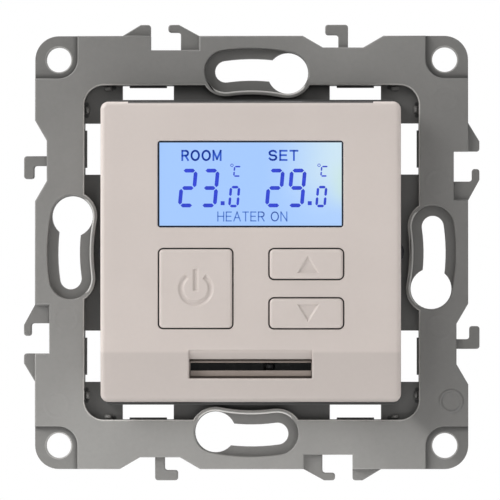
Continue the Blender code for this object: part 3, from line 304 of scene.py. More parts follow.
def grey_frame():
    """Satin grey plastic: mottled grain, painted light and shade in a tone that drifts round
    the frame, faint rings left by ejector pins, painted shade in the floor's corners, down
    in the floor and pads, on walls and along the pads' walls, and painted highlights along
    the opening's rims and round the corner holes. A ring's height is a narrow hump at its
    radius from the pin's middle."""
    finish = Finish("grey_plastic")
    place = finish.place()
    x, y, z = (place.part(axis) / MM for axis in "XYZ")
    # Painted light and shade: the tone round the frame.
    turn = z.math("ARCTAN2", z, x) / (2 * math.pi) + 0.5
    ramp = finish.tree.nodes.new("ShaderNodeValToRGB")
    finish.plug(ramp.inputs["Fac"], turn)
    stops = ramp.color_ramp.elements
    for stop, level in zip((stops[0], stops[1]), (PAINTED_LIGHT_TONES[0], PAINTED_LIGHT_TONES[-1])):
        stop.position = level[0]
        stop.color = (level[1],) * 3 + (1,)
    for position, level in PAINTED_LIGHT_TONES[1:-1]:
        stops.new(position).color = (level,) * 3 + (1,)
    tone = Wire(finish, ramp.outputs["Color"])
    humps = None
    for pin_x, pin_z, pin_radius, raised in EJECTORS:
        across, up = x - pin_x, z - pin_z
        offset = (across * across + up * up) ** 0.5 - pin_radius
        hump = offset.math("ABSOLUTE", offset).ramp(0.05, 0.4, raised, 0.0)
        humps = hump if humps is None else humps + hump
    side_x, side_z = x.math("ABSOLUTE", x), z.math("ABSOLUTE", z)
    # Painted shade in spots in the floor's corners.
    spot_shade = None
    for spot_x, spot_z in SHADE_SPOTS:
        across, up = side_x - spot_x, side_z - spot_z
        spot = (across * across + up * up).ramp(0.03, 0.2, 1.0, 0.0)
        spot_shade = spot if spot_shade is None else spot_shade + spot
    # Painted shade: darker down in the floor and the pads, where the painted tone round the frame
    # is also drawn towards an even level.
    floor = y.ramp(FLOOR_LEVEL - 0.5, FLOOR_LEVEL - 0.05, 0.0, 0.3)
    pad = y.ramp(PLATE_FRONT + 0.25, PAD_LEVEL, 0.0, 0.15)
    deep = floor + pad
    tone = tone + (0.9 - tone) * (deep * 2.0)
    # Painted shade on walls that face sideways.
    normal = finish.node("ShaderNodeNewGeometry", output="Normal")
    facing = normal.part("Y")
    wall = facing.math("ABSOLUTE", facing).ramp(0.02, 0.25, 0.62, 1.0)
    cloud = finish.noise(60.0, 3.0)
    speck = finish.noise(1500.0, 2.0)
    mottle = (cloud * 0.7 + speck * 0.3).ramp(0.3, 0.7, 0.95, 1.05)
    # Painted shade on the pads' floor along their walls.
    beyond_x, beyond_z = HOLE_AT - side_x, HOLE_AT - side_z
    beyond_x = beyond_x.math("MAXIMUM", beyond_x, 0.0)
    beyond_z = beyond_z.math("MAXIMUM", beyond_z, 0.0)
    reach = (beyond_x * beyond_x + beyond_z * beyond_z) ** 0.5
    pad_shade = reach.ramp(PAD_REACH - 1.0, PAD_REACH, 0.0, 0.45) * reach.ramp(3.45, 3.6, 1.0, 0.0)
    pad_shade = pad_shade * y.ramp(PLATE_FRONT + 0.02, PLATE_FRONT + 0.15)
    # Painted highlights along the opening's rims and round the corner holes.
    outer = side_x.math("MAXIMUM", side_x, side_z)
    rim_highlight = (y.ramp(PLATE_FRONT + 0.005, PLATE_FRONT + 0.06)
            * y.ramp(PLATE_FRONT + 0.2, PLATE_FRONT + 0.3, 1.0, 0.0))
    rim_highlight = rim_highlight * outer.math("LESS_THAN", outer, OPENING_HALF + 0.5) * 1.5
    across, up = side_x - HOLE_AT, side_z - HOLE_AT
    to_hole = (across * across + up * up) ** 0.5
    rim_highlight = rim_highlight + to_hole.ramp(2.2, 2.3, 0.9, 0.0)
    level = tone * mottle * wall * (1.0 - deep) * (1.0 - spot_shade * 0.85)
    level = level * (1.0 - pad_shade) * (1.0 + rim_highlight)
    colour = finish.node("ShaderNodeVectorMath", {"operation": "SCALE"},
                         {0: FRAME_GREY, "Scale": level})
    sheen = finish.noise(200.0, 3.0).ramp(0.3, 0.7, 0.42, 0.52)
    texture = finish.noise(3200.0, 3.0, 0.6) * 0.25 + humps * 1.0
    finish.set(Base_Color=colour, Roughness=sheen, Normal=finish.bump(texture, 0.8, 0.05))
    return finish.material


def board_finish(name, ground, track):
    """Solder mask with copper tracks showing through in a paler tone."""
    finish = Finish(name, Roughness=0.35, Coat_Weight=0.3)
    place = finish.place()
    tracks = (place.part("X") * 1400.0).math("SINE", place.part("X") * 1400.0)
    cells = finish.noise(260.0, 1.0)
    lines = (tracks * 0.5 + cells).ramp(0.62, 0.7)
    finish.set(Base_Color=finish.blend(lines, ground, track),
               Normal=finish.bump(lines, 0.5, 0.03))
    return finish.material


def striped_rubber():
    """Contact strip: silicone with dark conducting layers across its length."""
    finish = Finish("striped_rubber", Roughness=0.75)
    bands = (finish.place().part("X") * 20000.0).math("SINE", finish.place().part("X") * 20000.0)
    grain = finish.noise(4000.0, 2.0)
    finish.set(Base_Color=finish.blend(bands.ramp(-0.2, 0.2), (0.03, 0.03, 0.03), (0.5, 0.5, 0.52)),
               Normal=finish.bump(grain, 0.4, 0.01))
    return finish.material


def backlit_display():
    """Blue backlight: paler towards the upper right, a green tinge by the right edge, and a
    band of painted shade that frames the window. The band's mask is the larger of the
    distances beyond the lit field's sides, across and up."""
    finish = Finish("backlit_display", Roughness=0.22, Emission_Strength=0.9)
    place = finish.place()
    x = place.part("X") / MM
    z = place.part("Z") / MM - WINDOW[1]
    cloud = finish.noise(90.0, 2.0)
    right = (x + cloud * 3.0).ramp(3.0, 16.0)
    pale = right * z.ramp(-6.0, 2.5, 0.2, 1.0)
    glow = finish.blend(pale, (0.36, 0.56, 0.95), (0.62, 0.78, 0.84))
    edge = x.ramp(12.0, 15.5) * z.math("ABSOLUTE", z).ramp(0.5, 5.0, 0.8, 0.0)
    glow = finish.blend(edge, glow, (0.60, 0.78, 0.66))
    # Painted shade in a band along the window's edge.
    beyond_x = x.math("ABSOLUTE", x) - (WINDOW[2] / 2 - EDGE_SHADE)
    beyond_z = z.math("ABSOLUTE", z) - (WINDOW[3] / 2 - EDGE_SHADE)
    edge_shade = beyond_x.math("MAXIMUM", beyond_x, beyond_z).ramp(-0.05, 0.05)
    finish.set(Base_Color=finish.blend(edge_shade, (0.05, 0.08, 0.14), (0.01, 0.012, 0.02)),
               Emission_Color=finish.blend(edge_shade, glow, (0.0, 0.002, 0.008)),
               Normal=finish.bump(cloud, 0.2, 0.02))
    return finish.material


def display_ink(name, colour):
    """Liquid crystal segments: deep blue with slight unevenness."""
    finish = Finish(name, Roughness=0.3, Emission_Strength=0.5)
    cloud = finish.noise(700.0, 2.0)
    deep = tuple(c * 0.85 for c in colour)
    shade = finish.blend(cloud.ramp(0.3, 0.7), deep, colour)
    finish.set(Base_Color=shade, Emission_Color=shade)
    return finish.material


IVORY = (0.563, 0.501, 0.468)
FRAME_GREY = (0.19, 0.186, 0.178)
# Painted light and shade: tone round the frame, by share of a full turn from the left side through
# the bottom.
PAINTED_LIGHT_TONES = ((0.0, 1.08), (0.09, 1.17), (0.14, 1.47), (0.2, 1.42), (0.3, 1.42), (0.323, 1.4),
              (0.345, 1.18), (0.37, 1.1), (0.3735, 0.74), (0.44, 0.71), (0.52, 0.74), (0.6, 0.83),
              (0.678, 1.1), (0.72, 1.0), (0.76, 0.92), (0.88, 1.0), (1.0, 1.08))
# Marks of ejector pins: place, radius and how far each stands out.
EJECTORS = ((-30.4, -10.9, 1.9, 0.5), (-31.9, -25.0, 1.9, 0.5), (31.8, 25.2, 1.9, 0.5),
            (30.5, 11.4, 1.9, 0.6), (30.8, -12.2, 1.9, 0.6), (32.7, -24.4, 1.75, 6.0),
            (-30.6, 24.6, 1.9, 0.25))
# Spots of painted shade in the floor's corners, beside the knobs: place in one quarter.
SHADE_SPOTS = ((22.55, 27.1), (27.1, 22.45), (27.1, 24.35))
FINISHES = {
    "cover_plastic": ivory("ivory_plastic", COVER_FRONT + 0.2),
    "key_plastic": ivory("ivory_key_plastic", COVER_FRONT - 0.02),
    "frame_plastic": grey_frame(),
    # Painted shade: the plastic behind the vent coloured as it looks in shadow.
    "louvre_plastic": moulded("shaded_plastic", (0.30, 0.25, 0.22), 0.6),
    "carrier_plastic": moulded("charcoal_plastic", (0.05, 0.05, 0.05), 0.5),
    "housing_plastic": moulded("light_grey_plastic", (0.42, 0.42, 0.41), 0.5, 0.02),
    "white_plastic": moulded("white_plastic", (0.75, 0.75, 0.72), 0.45),
    "clear_plastic": moulded("frosted_acrylic", (0.75, 0.82, 0.85), 0.3),
    "black_plastic": moulded("black_plastic", (0.02, 0.02, 0.021), 0.45),
    "relay_case": moulded("blue_case", (0.02, 0.12, 0.4), 0.35),
    "capacitor_case": moulded("yellow_case", (0.75, 0.5, 0.05), 0.4),
    "varistor_coating": moulded("blue_epoxy", (0.03, 0.2, 0.5), 0.3),
    "terminal_plastic": moulded("green_plastic", (0.04, 0.28, 0.11), 0.45),
    "black_screw": metal("black_oxide", (0.05, 0.05, 0.055), 0.4),
    "plated_steel": metal("zinc_plate", (0.66, 0.66, 0.64), 0.3),
    "circuit_board": board_finish("green_solder_mask", (0.012, 0.11, 0.035), (0.03, 0.22, 0.07)),
    "dark_board": board_finish("black_solder_mask", (0.006, 0.006, 0.006), (0.014, 0.013, 0.012)),
    "contact_rubber": striped_rubber(),
    "display": backlit_display(),
}


# ---- outlines -------------------------------------------------------------

def round_rect(x, z, width, height, radius, per_corner=10, per_side=0):
    """Rounded rectangle about (x, z): each corner is a quarter circle, its centre a
    radius in from both sides, its angle running evenly through 90 degrees. Between two
    corners, per_side points divide the straight side evenly."""
    turn = np.repeat(np.arange(4), per_corner)
    step = np.tile(np.linspace(0, math.pi / 2, per_corner), 4)
    angle = turn * math.pi / 2 + step
    side = np.array([(1, 1), (-1, 1), (-1, -1), (1, -1)])[turn]
    centre = side * (np.array((width, height)) / 2 - radius)
    points = centre + radius * np.stack((np.cos(angle), np.sin(angle)), 1) + (x, z)
    corners = points.reshape(4, per_corner, 2)
    share = np.linspace(0, 1, per_side + 2)[1:-1, None]
    sides = corners[:, -1:] * (1 - share) + np.roll(corners, -1, 0)[:, :1] * share
    return np.concatenate((corners, sides), 1).reshape(-1, 2)


def lean(z):
    """How far the cover's face stands back: none above the crease, then a straight
    slope, joined by a parabola over the crease's soft width."""
    below = CREASE_Z - np.asarray(z)
    bend = (below + CREASE_SOFT) ** 2 / (4 * CREASE_SOFT)
    leaning = np.where(below < CREASE_SOFT, bend, below)
    return LEAN_SLOPE * np.where(below < -CREASE_SOFT, 0, leaning)


def ring(outline, y):
    """Lift an outline (x, z) to points (x, y, z)."""
    return np.stack((outline[:, 0], np.broadcast_to(y, len(outline)), outline[:, 1]), 1)


# ---- surfaces -------------------------------------------------------------

class Shell:
    """Collects patches of vertices and faces, in millimetres, for one piece."""

    def __init__(self):
        self.points = []
        self.faces = []
        self.count = 0

    def add(self, points, faces):
        """Add one patch of points with its faces."""
        self.faces += [tuple(int(i) + self.count for i in face) for face in faces]
        self.points.append(np.asarray(points, float).reshape(-1, 3))
        self.count += len(self.points[-1])

    def loft(self, rings, closed=True):
        """A skin over rings of equal length: face (i, j) joins points j and j + 1 of
        ring i to those of ring i + 1, and closes round each ring."""
        grid = np.array(rings)
        rows, columns = grid.shape[:2]
        index = np.arange(rows * columns).reshape(rows, columns)
        near, far = index[:-1], index[1:]
        if closed:
            quads = (near, np.roll(near, -1, 1), np.roll(far, -1, 1), far)
        else:
            quads = (near[:, :-1], near[:, 1:], far[:, 1:], far[:, :-1])
        self.add(grid, np.stack(quads, -1).reshape(-1, 4))

    def cap(self, outline):
        """One flat face over a ring of points."""
        self.add(outline, [range(len(outline))])

    def patch(self, outer, holes, height, extra=()):
        """Flat triangles between an outer outline and its holes, with extra cross lines;
        height gives y for every x, z."""
        loops = [outer, *holes]
        points = np.concatenate(loops + [np.array(line) for line in extra])
        edges, start = [], 0
        for loop in loops:
            ids = np.arange(len(loop)) + start
            edges += zip(ids, np.roll(ids, -1))
            start += len(loop)
        for line in extra:
            edges.append((start, start + 1))
            start += 2
        ends = [(int(a), int(b)) for a, b in edges]
        verts, _, faces = delaunay_2d_cdt([Vector(p) for p in points], ends, [], 0, 1e-5)[:3]
        flat = np.array([tuple(v) for v in verts])
        centres = np.array([flat[list(face)].mean(0) for face in faces])
        keep = inside(centres, outer)
        for hole in holes:
            keep &= ~inside(centres, hole)
        chosen = [face for face, kept in zip(faces, keep) if kept]
        self.add(ring(flat, height(flat[:, 0], flat[:, 1])), chosen)

    def mesh(self, name):
        """Weld the patches into one mesh with its faces pointing outwards."""
        mesh = bpy.data.meshes.new(name)
        mesh.from_pydata((np.concatenate(self.points) * MM).tolist(), [], self.faces)
        work = bmesh.new()
        work.from_mesh(mesh)
        bmesh.ops.remove_doubles(work, verts=work.verts, dist=WELD * MM)
        bmesh.ops.recalc_face_normals(work, faces=work.faces)
        work.to_mesh(mesh)
        work.free()
        return mesh

    def piece(self, name, finish, body, *nodes):
        """Make the object, riding on a body and standing for its CAD nodes."""
        return placed(name, self.mesh(name), finish, body, *nodes)


def inside(points, outline):
    """True for each point inside a closed outline, by counting edges that a ray from
    the point towards +X crosses."""
    x, z = points[:, :1], points[:, 1:]
    start, end = outline, np.roll(outline, -1, 0)
    spans = (start[:, 1] > z) != (end[:, 1] > z)
    rise = np.where(end[:, 1] == start[:, 1], 1.0, end[:, 1] - start[:, 1])
    cross = start[:, 0] + (z - start[:, 1]) * (end[:, 0] - start[:, 0]) / rise
    return (spans & (x < cross)).sum(1) % 2 == 1


def placed(name, mesh, finish, body, *nodes):
    """Put a finished mesh in the scene as a piece of the object."""
    mesh.shade_smooth()
    mesh.set_sharp_from_angle(angle=math.radians(SHARP))
    normals = np.empty(len(mesh.polygons) * 3, np.float32)
    mesh.polygons.foreach_get("normal", normals)
    facing = normals.reshape(-1, 3) @ np.array(FLAT_WAYS, float).T
    curved = facing.max(1) < math.cos(math.radians(0.1))
    mesh.polygons.foreach_set("use_smooth", curved)
    mesh.materials.clear()
    mesh.materials.append(FINISHES[finish])
    made = bpy.data.objects.new(name, mesh)
    bpy.context.scene.collection.objects.link(made)
    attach(made, body)
    if nodes:
        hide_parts(*nodes)
    return made


def merged(node):
    """The CAD node's shape with its triangles joined into flat faces."""
    work = bmesh.new()
    work.from_mesh(frame["nodes"][node].data)
    bmesh.ops.remove_doubles(work, verts=work.verts, dist=WELD * MM)
    bmesh.ops.dissolve_limit(work, angle_limit=math.radians(0.5), verts=work.verts,
                             edges=work.edges)
    return work


def bevelled(work, edges, width, segments=3):
    """Round the edges over the given width."""
    bmesh.ops.bevel(work, geom=edges, offset=width * MM, segments=segments, profile=0.5,
                    affect="EDGES", clamp_overlap=False)


def sharp_edges(work, levels=None):
    """Edges where faces meet sharply; with levels, those in a plane of constant y."""
    found = []
    for edge in work.edges:
        if len(edge.link_faces) != 2 or edge.calc_face_angle(0.0) < math.radians(SHARP):
            continue
        heights = [vert.co.y / MM for vert in edge.verts]
        if levels is None or any(all(abs(h - y) < 0.01 for h in heights) for y in levels):
            found.append(edge)
    return found


def softened(node, width, levels=None, body=BODY):
    """The CAD node's own shape with its sharp edges rounded over the given width."""
    work = merged(node)
    bevelled(work, sharp_edges(work, levels), width)
    return skin(work, node, body)


def skin(work, node, body=BODY):
    """Finish a CAD node's reworked shape as the piece that stands for it."""
    mesh = bpy.data.meshes.new(f"{node}_skin")
    work.to_mesh(mesh)
    work.free()
    slot = next(p["material_slot"] for p in frame["record"]["subparts"] if p["node"] == node)
    return placed(mesh.name, mesh, slot, body, node)


# ---- the cover ------------------------------------------------------------

BENDS = CREASE_Z + CREASE_SOFT * np.linspace(-1, 1, 9)


def creased(flat):
    """The outline with a point added wherever a side crosses a line of the crease."""
    points = []
    for start, end in zip(flat, np.roll(flat, -1, 0)):
        points.append(start)
        rise = end[1] - start[1]
        shares = [(z - start[1]) / rise for z in BENDS if (z - start[1]) * (z - end[1]) < 0]
        points += [start + (end - start) * share for share in sorted(shares)]
    return np.array(points)


def cover_height(level):
    """Height function of a face that leans back below the crease."""
    return lambda x, z: level + lean(z)


def make_cover():
    """The ivory cover: side walls and fillet lofted round the outline, flat face
    between them and the openings, a rounded rim and a wall inside each opening."""
    shell = Shell()
    inner_level = COVER_FRONT + FACE_WALL
    quarter = np.linspace(0, math.pi / 2, 9)

    def outline(inset, corner):
        return creased(round_rect(0, 0, COVER_SIZE - 2 * inset, COVER_SIZE - 2 * inset, corner))

    rings = [ring(outline(COVER_WALL, 0.4), COVER_REAR),
             ring(outline(0.12, COVER_CORNER - 0.12), COVER_REAR),
             ring(outline(0.0, COVER_CORNER), COVER_REAR - 0.12)]
    for turn in quarter:
        inset = COVER_FILLET * (1 - math.cos(turn))
        level = COVER_FRONT + CROWN + COVER_FILLET * (1 - math.sin(turn))
        flat = outline(inset, max(COVER_CORNER - inset, 0.25))
        rings.append(ring(flat, level + lean(flat[:, 1])))
    for share in np.linspace(0, 1, 7)[1:]:
        flat = outline(COVER_FILLET + CROWN_WIDTH * share, max(COVER_CORNER - COVER_FILLET, 0.25))
        rings.append(ring(flat, COVER_FRONT + CROWN * (1 - share) ** 2 + lean(flat[:, 1])))
    shell.loft(rings)
    inner = outline(COVER_WALL, 0.4)
    shell.loft([ring(inner, inner_level + lean(inner[:, 1])), ring(inner, COVER_REAR)])

    openings = [WINDOW, *KEYS.values()]
    front_holes, back_holes = [], []
    for x, z, width, height, corner in openings:
        rim = []
        for turn in quarter[::-1]:
            grow = RIM_ROUND * (1 - math.cos(turn))
            flat = round_rect(x, z, width + 2 * grow, height + 2 * grow, corner + grow)
            level = COVER_FRONT + RIM_ROUND * (1 - math.sin(turn))
            rim.append(ring(flat, level + lean(flat[:, 1])))
        flat = round_rect(x, z, width, height, corner)
        rim.append(ring(flat, inner_level))
        shell.loft(rim)
        front_holes.append(rim[0][:, [0, 2]])
        back_holes.append(flat)
    vent = vent_rings(inner_level)
    shell.loft(vent)
    front_holes.append(vent[0][:, [0, 2]])
    back_holes.append(vent[-1][:, [0, 2]])

    bends = [((-30.0, z), (30.0, z)) for z in BENDS]
    shell.patch(rings[-1][:, [0, 2]], front_holes, cover_height(COVER_FRONT), bends)
    shell.patch(inner, back_holes, cover_height(inner_level), bends)
    return shell.piece("cover_shell", "cover_plastic", BODY, "front_cover")


def vent_rings(inner_level):
    """Rings of the vent opening from the face inwards: the top slopes down as it goes
    in, the other three sides run straight back."""
    rings = []
    half = VENT_WIDTH / 2

    def rectangle(top, grow, corner):
        middle = (top + VENT_BOTTOM) / 2
        width, height = 2 * (half + grow), top - VENT_BOTTOM + 2 * grow
        return round_rect(0, middle, width, height, corner, 5, 12)

    for turn in np.linspace(math.pi / 2, 0, 5):
        grow = VENT_RIM * (1 - math.cos(turn))
        flat = rectangle(VENT_TOP, grow, 0.12 + grow)
        rings.append(ring(flat, COVER_FRONT + VENT_RIM * (1 - math.sin(turn)) + lean(flat[:, 1])))
    flat = rectangle(VENT_TOP - VENT_SLOPE, 0, 0.12)
    rings.append(ring(flat, inner_level - 0.1 + lean(flat[:, 1])))
    rings.append(ring(flat, inner_level + lean(flat[:, 1])))
    return rings


# ---- keys -----------------------------------------------------------------

def smooth(value, low, high):
    """Smooth step from 0 at low to 1 at high."""
    t = np.clip((value - low) / (high - low), 0, 1)
    return t * t * (3 - 2 * t)


def power_mark(x, z):
    """Depth, 0 to 1, of the power mark: a round-bottomed ring open at the top, and a
    round-bottomed bar in the gap."""
    radius = np.hypot(x, z)
    angle = np.degrees(np.abs(np.arctan2(x, z)))
    band = smooth(radius, 1.84, 2.3) * (1 - smooth(radius, 2.54, 3.0))
    open_top = smooth((angle - 36.0) * radius, -6.0, 6.0)
    bar = (1 - smooth(np.abs(x), 0.12, 0.54)) * (1 - smooth(np.abs(z - 1.42), 1.6, 1.95))
    return np.maximum(band * open_top, bar)


ARROW = (3.9, 3.2)        # width and height of an arrow
ARROW_SHIFT = 0.3         # how far it stands to the right of its key's middle
ARROW_WALL = 0.38         # width of its sloping edge


def arrow_sides(up):
    """Unit normals of the triangle's three sides, and their distances from its middle."""
    width, height = ARROW
    slant = math.hypot(height, width / 2)
    side = np.array((height, width / 2 * up)) / slant
    normals = np.array((side, side * (-1, 1), (0, -up)))
    return normals, np.array((width * height / 4 / slant,) * 2 + (height / 2,))


def arrow_mark(x, z, up):
    """Depth, 0 to 1, of a triangle with its point up or down: the distance inside its
    nearest side, over a narrow sloping edge."""
    normals, reach = arrow_sides(up)
    depth = reach - np.stack((x, z), 1) @ normals.T
    return smooth(depth.min(1), 0.0, ARROW_WALL)


def mark_outline(name, angle):
    """The outline that a key's inner rings follow, by polar angle: a circle round the
    power mark, or the arrow's own triangle, where the nearest side in each direction is
    the least of distance over the cosine of the angle to its normal."""
    ray = np.stack((np.cos(angle), np.sin(angle)), 1)
    if name == "power":
        return ray * 3.6
    normals, reach = arrow_sides(1 if name == "up" else -1)
    facing = np.maximum(ray @ normals.T, 1e-6)
    return ray * (reach / facing).min(1)[:, None]


def make_key(name, key):
    """A key: rings run from its centre out to the fillet and down the side. They follow
    the mark's outline inside it, and turn into the rounded rectangle towards the edge.
    Behind lie the flange that holds the key in the cover, and its stem."""
    x, z, width, height, corner = key
    low, high = node_box(f"{name}_button")
    power = name == "power"

    def outline(grow):
        radius = max(corner - KEY_GAP + grow, 0.15)
        size = width - 2 * KEY_GAP + 2 * grow, height - 2 * KEY_GAP + 2 * grow
        return round_rect(0, 0, *size, radius, 12, 100 if power else 80)

    edge, inset = outline(0), outline(-KEY_ROUND)
    mark = mark_outline(name, np.arctan2(inset[:, 1], inset[:, 0]))
    front = low[1]
    shift = np.array((0.0 if power else ARROW_SHIFT, 0.0))
    shell = Shell()
    rings = []
    for share in np.linspace(0, 1, 68 if power else 26)[1:]:
        rings.append(mark * share + shift)
    for share in np.linspace(0, 1, 18)[1:]:
        rings.append((mark + shift) * (1 - share) + inset * share)
    for i, flat in enumerate(rings):
        local = flat - shift
        if power:
            depth = power_mark(local[:, 0], local[:, 1])
        else:
            depth = arrow_mark(local[:, 0], local[:, 1], 1 if name == "up" else -1)
        dish = 0.05 * (flat[:, 0] / width * 2) ** 2 + 0.03 * (flat[:, 1] / height * 2) ** 2
        rings[i] = ring(flat, front + dish + MARK_DEPTH * depth)
    centre = rings[0].mean(0)
    lip = rings[-1][:, 1]
    for turn in np.linspace(0, math.pi / 2, 9)[1:]:
        mix = math.sin(turn)
        rings.append(ring(inset * (1 - mix) + edge * mix, lip + KEY_ROUND * (1 - math.cos(turn))))
    flange = high[1] - KEY_FLANGE_BACK
    stem = edge / np.linalg.norm(edge, axis=1)[:, None] * KEY_STEM
    rings += [ring(edge, flange), ring(outline(KEY_FLANGE), flange),
              ring(outline(KEY_FLANGE), flange + KEY_FLANGE_DEPTH),
              ring(stem, flange + KEY_FLANGE_DEPTH), ring(stem, high[1])]
    shell.loft(rings)
    count = len(edge)
    fan = np.vstack((centre, rings[0]))
    shell.add(fan, [(0, i + 1, (i + 1) % count + 1) for i in range(count)])
    shell.cap(rings[-1])
    for patch in shell.points:
        patch += (x, 0, z)
    return shell.piece(f"{name}_keycap", "key_plastic", f"{name}_key", f"{name}_button")


# ---- the display ----------------------------------------------------------

FACE_LEVEL = GLASS_LOW[1]
INK_HEIGHT = 0.02

# Seven segments of a digit, as ends in a box one unit wide and two units high.
SEGMENTS = {
    "top": ((0, 2), (1, 2)), "middle": ((0, 1), (1, 1)), "bottom": ((0, 0), (1, 0)),
    "upper_left": ((0, 1), (0, 2)), "upper_right": ((1, 1), (1, 2)),
    "lower_left": ((0, 0), (0, 1)), "lower_right": ((1, 0), (1, 1)),
}
DIGITS = {
    "0": ("top", "bottom", "upper_left", "upper_right", "lower_left", "lower_right"),
    "2": ("top", "middle", "bottom", "upper_right", "lower_left"),
    "3": ("top", "middle", "bottom", "upper_right", "lower_right"),
    "9": ("top", "middle", "bottom", "upper_left", "upper_right", "lower_right"),
    "C": ("top", "bottom", "upper_left", "lower_left"),
}
# Plain capitals as pen strokes in a box one unit wide and one unit high; O is drawn
# as a ring.
STROKES = {
    "A": [((0, 0), (0.5, 1)), ((0.5, 1), (1, 0)), ((0.2, 0.36), (0.8, 0.36))],
    "E": [((0, 0), (0, 1)), ((0, 1), (1, 1)), ((0, 0.52), (0.9, 0.52)), ((0, 0), (1, 0))],
    "H": [((0, 0), (0, 1)), ((1, 0), (1, 1)), ((0, 0.52), (1, 0.52))],
    "M": [((0, 0), (0, 1)), ((0, 1), (0.5, 0.1)), ((0.5, 0.1), (1, 1)), ((1, 1), (1, 0))],
    "N": [((0, 0), (0, 1)), ((0, 1), (1, 0)), ((1, 0), (1, 1))],
    "T": [((0, 1), (1, 1)), ((0.5, 0), (0.5, 1))],
}


LETTER_WIDTHS = {"A": 1.0, "E": 0.8, "H": 0.92, "M": 1.06, "N": 0.92, "O": 1.08, "R": 0.88,
                 "S": 0.86, "T": 0.86, " ": 0.42}


def arc_points(centre, radii, start, end, steps=8):
    """Points on an ellipse's arc, in degrees."""
    turn = np.radians(np.linspace(start, end, steps + 1))
    return [(centre[0] + radii[0] * math.cos(a), centre[1] + radii[1] * math.sin(a)) for a in turn]


def chain(points):
    """Strokes that join a list of points."""
    return list(zip(points, points[1:]))


STROKES["O"] = chain(arc_points((0.5, 0.5), (0.5, 0.5), 0, 360, 20))
STROKES["R"] = ([((0, 0), (0, 1)), ((0, 1), (0.6, 1)), ((0, 0.48), (0.6, 0.48)),
                 ((0.55, 0.48), (1, 0))] + chain(arc_points((0.6, 0.74), (0.4, 0.26), 90, -90)))
STROKES["S"] = chain(arc_points((0.5, 0.75), (0.48, 0.25), 20, 270)
                     + arc_points((0.5, 0.26), (0.5, 0.26), 90, -160)[1:])


class Ink(Shell):
    """Flat marks that stand a hair above the display's face."""

    def blade(self, start, end, width, tip):
        """One bar from start to end: six corners, its ends drawn to points by tip."""
        start, end = np.array(start, float), np.array(end, float)
        along = (end - start) / np.linalg.norm(end - start)
        across = np.array((-along[1], along[0])) * width / 2
        outline = np.array([start, start + along * tip - across, end - along * tip - across,
                            end, end - along * tip + across, start + along * tip + across])
        if tip == 0:
            outline = outline[[1, 2, 4, 5]]
        self.block(outline)

    def block(self, outline):
        """A thin solid with the given outline."""
        top, base = ring(outline, FACE_LEVEL - INK_HEIGHT), ring(outline, FACE_LEVEL - 0.002)
        self.loft([base, top])
        self.cap(top)
        self.cap(base)

    def digit(self, sign, left, base, width, height, bar, slant=0.09):
        """A seven-segment sign, leaning to the right."""
        for segment in DIGITS[sign]:
            ends = np.array(SEGMENTS[segment], float)
            spot = ends * (width - bar, (height - bar) / 2) + (bar / 2, bar / 2)
            along = (spot[1] - spot[0]) / np.linalg.norm(spot[1] - spot[0])
            spot += np.array([along, -along]) * 0.12 * bar / 0.6
            spot[:, 0] += slant * spot[:, 1]
            self.blade(*(spot + (left, base)), bar, bar * 0.5)

    def word(self, text, left, base, right, height, pen, gap=0.2):
        """A word between left and right, each letter in its own share of the width."""
        widths = np.array([LETTER_WIDTHS[letter] for letter in text])
        unit = (right - left) / (widths.sum() + gap * (len(text) - 1))
        cursor = left
        for letter, width in zip(text, widths):
            for start, end in STROKES.get(letter, []):
                size = (unit * width - pen, height - pen)
                a = np.array(start) * size + (cursor + pen / 2, base + pen / 2)
                b = np.array(end) * size + (cursor + pen / 2, base + pen / 2)
                along = (b - a) / np.linalg.norm(b - a) * pen / 2
                self.blade(a - along, b + along, pen, 0)
            cursor += unit * (width + gap)


def make_display():
    """The display's face and the marks that show on it."""
    x, z, width, height, corner = WINDOW
    shell = Shell()
    rings = []
    for share in np.linspace(0.05, 1, 12):
        size = (width - 2 * DISPLAY_GAP) * share, (height - 2 * DISPLAY_GAP) * share
        flat = round_rect(x, z, *size, (corner - DISPLAY_GAP) * share, 6)
        rings.append(ring(flat, FACE_LEVEL + 0.03 * smooth(share, 0.98, 1.0)))
    rings.append(ring(rings[-1][:, [0, 2]], GLASS_HIGH[1]))
    shell.loft(rings)
    shell.cap(rings[0])
    shell.cap(rings[-1])
    shell.piece("display_face", "display", BODY, "lcd_glass")

    ink = Ink()
    for shift, digits in ((0.0, "23"), (14.3, "29")):
        for place, sign in enumerate(digits):
            ink.digit(sign, -12.1 + shift + 3.6 * place, 7.4, 2.75, 6.3, 0.62)
        ink.block(np.array([(-5.05, 7.75), (-4.4, 7.75), (-4.4, 8.4), (-5.05, 8.4)]) + (shift, 0))
        ink.digit("0", -3.85 + shift, 7.4, 1.75, 3.5, 0.42)
        ink.digit("C", -3.02 + shift, 12.38, 1.25, 1.78, 0.24)
        for start, end in chain(arc_points((-3.2 + shift, 14.25), (0.22, 0.22), 0, 360, 10)):
            ink.blade(start, end, 0.1, 0)
    words = Ink()
    words.word("ROOM", -11.5, 14.97, -4.9, 1.8, 0.3)
    words.word("SET", 2.8, 14.97, 7.7, 1.8, 0.3)
    faint = Ink()
    faint.word("HEATER ON", -5.6, 5.1, 5.9, 1.62, 0.18)
    for name, shell, colour in (("display_segments", ink, (0.016, 0.036, 0.42)),
                                ("display_words", words, (0.018, 0.07, 0.40)),
                                ("display_legend", faint, (0.05, 0.13, 0.42))):
        for patch in shell.points:
            patch *= (0.993, 1, 1)
            patch += (0.145, 0, -0.18)
        mesh = shell.mesh(name)
        mesh.materials.append(display_ink(name, colour))
        made = bpy.data.objects.new(name, mesh)
        bpy.context.scene.collection.objects.link(made)
        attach(made, BODY)


# ---- everything else ------------------------------------------------------

# The display board's black mask is also painted shade that keeps the inside behind the vent dark.
OTHER_FINISH = {"display_board": "dark_board", "air_sensor": "black_plastic"}


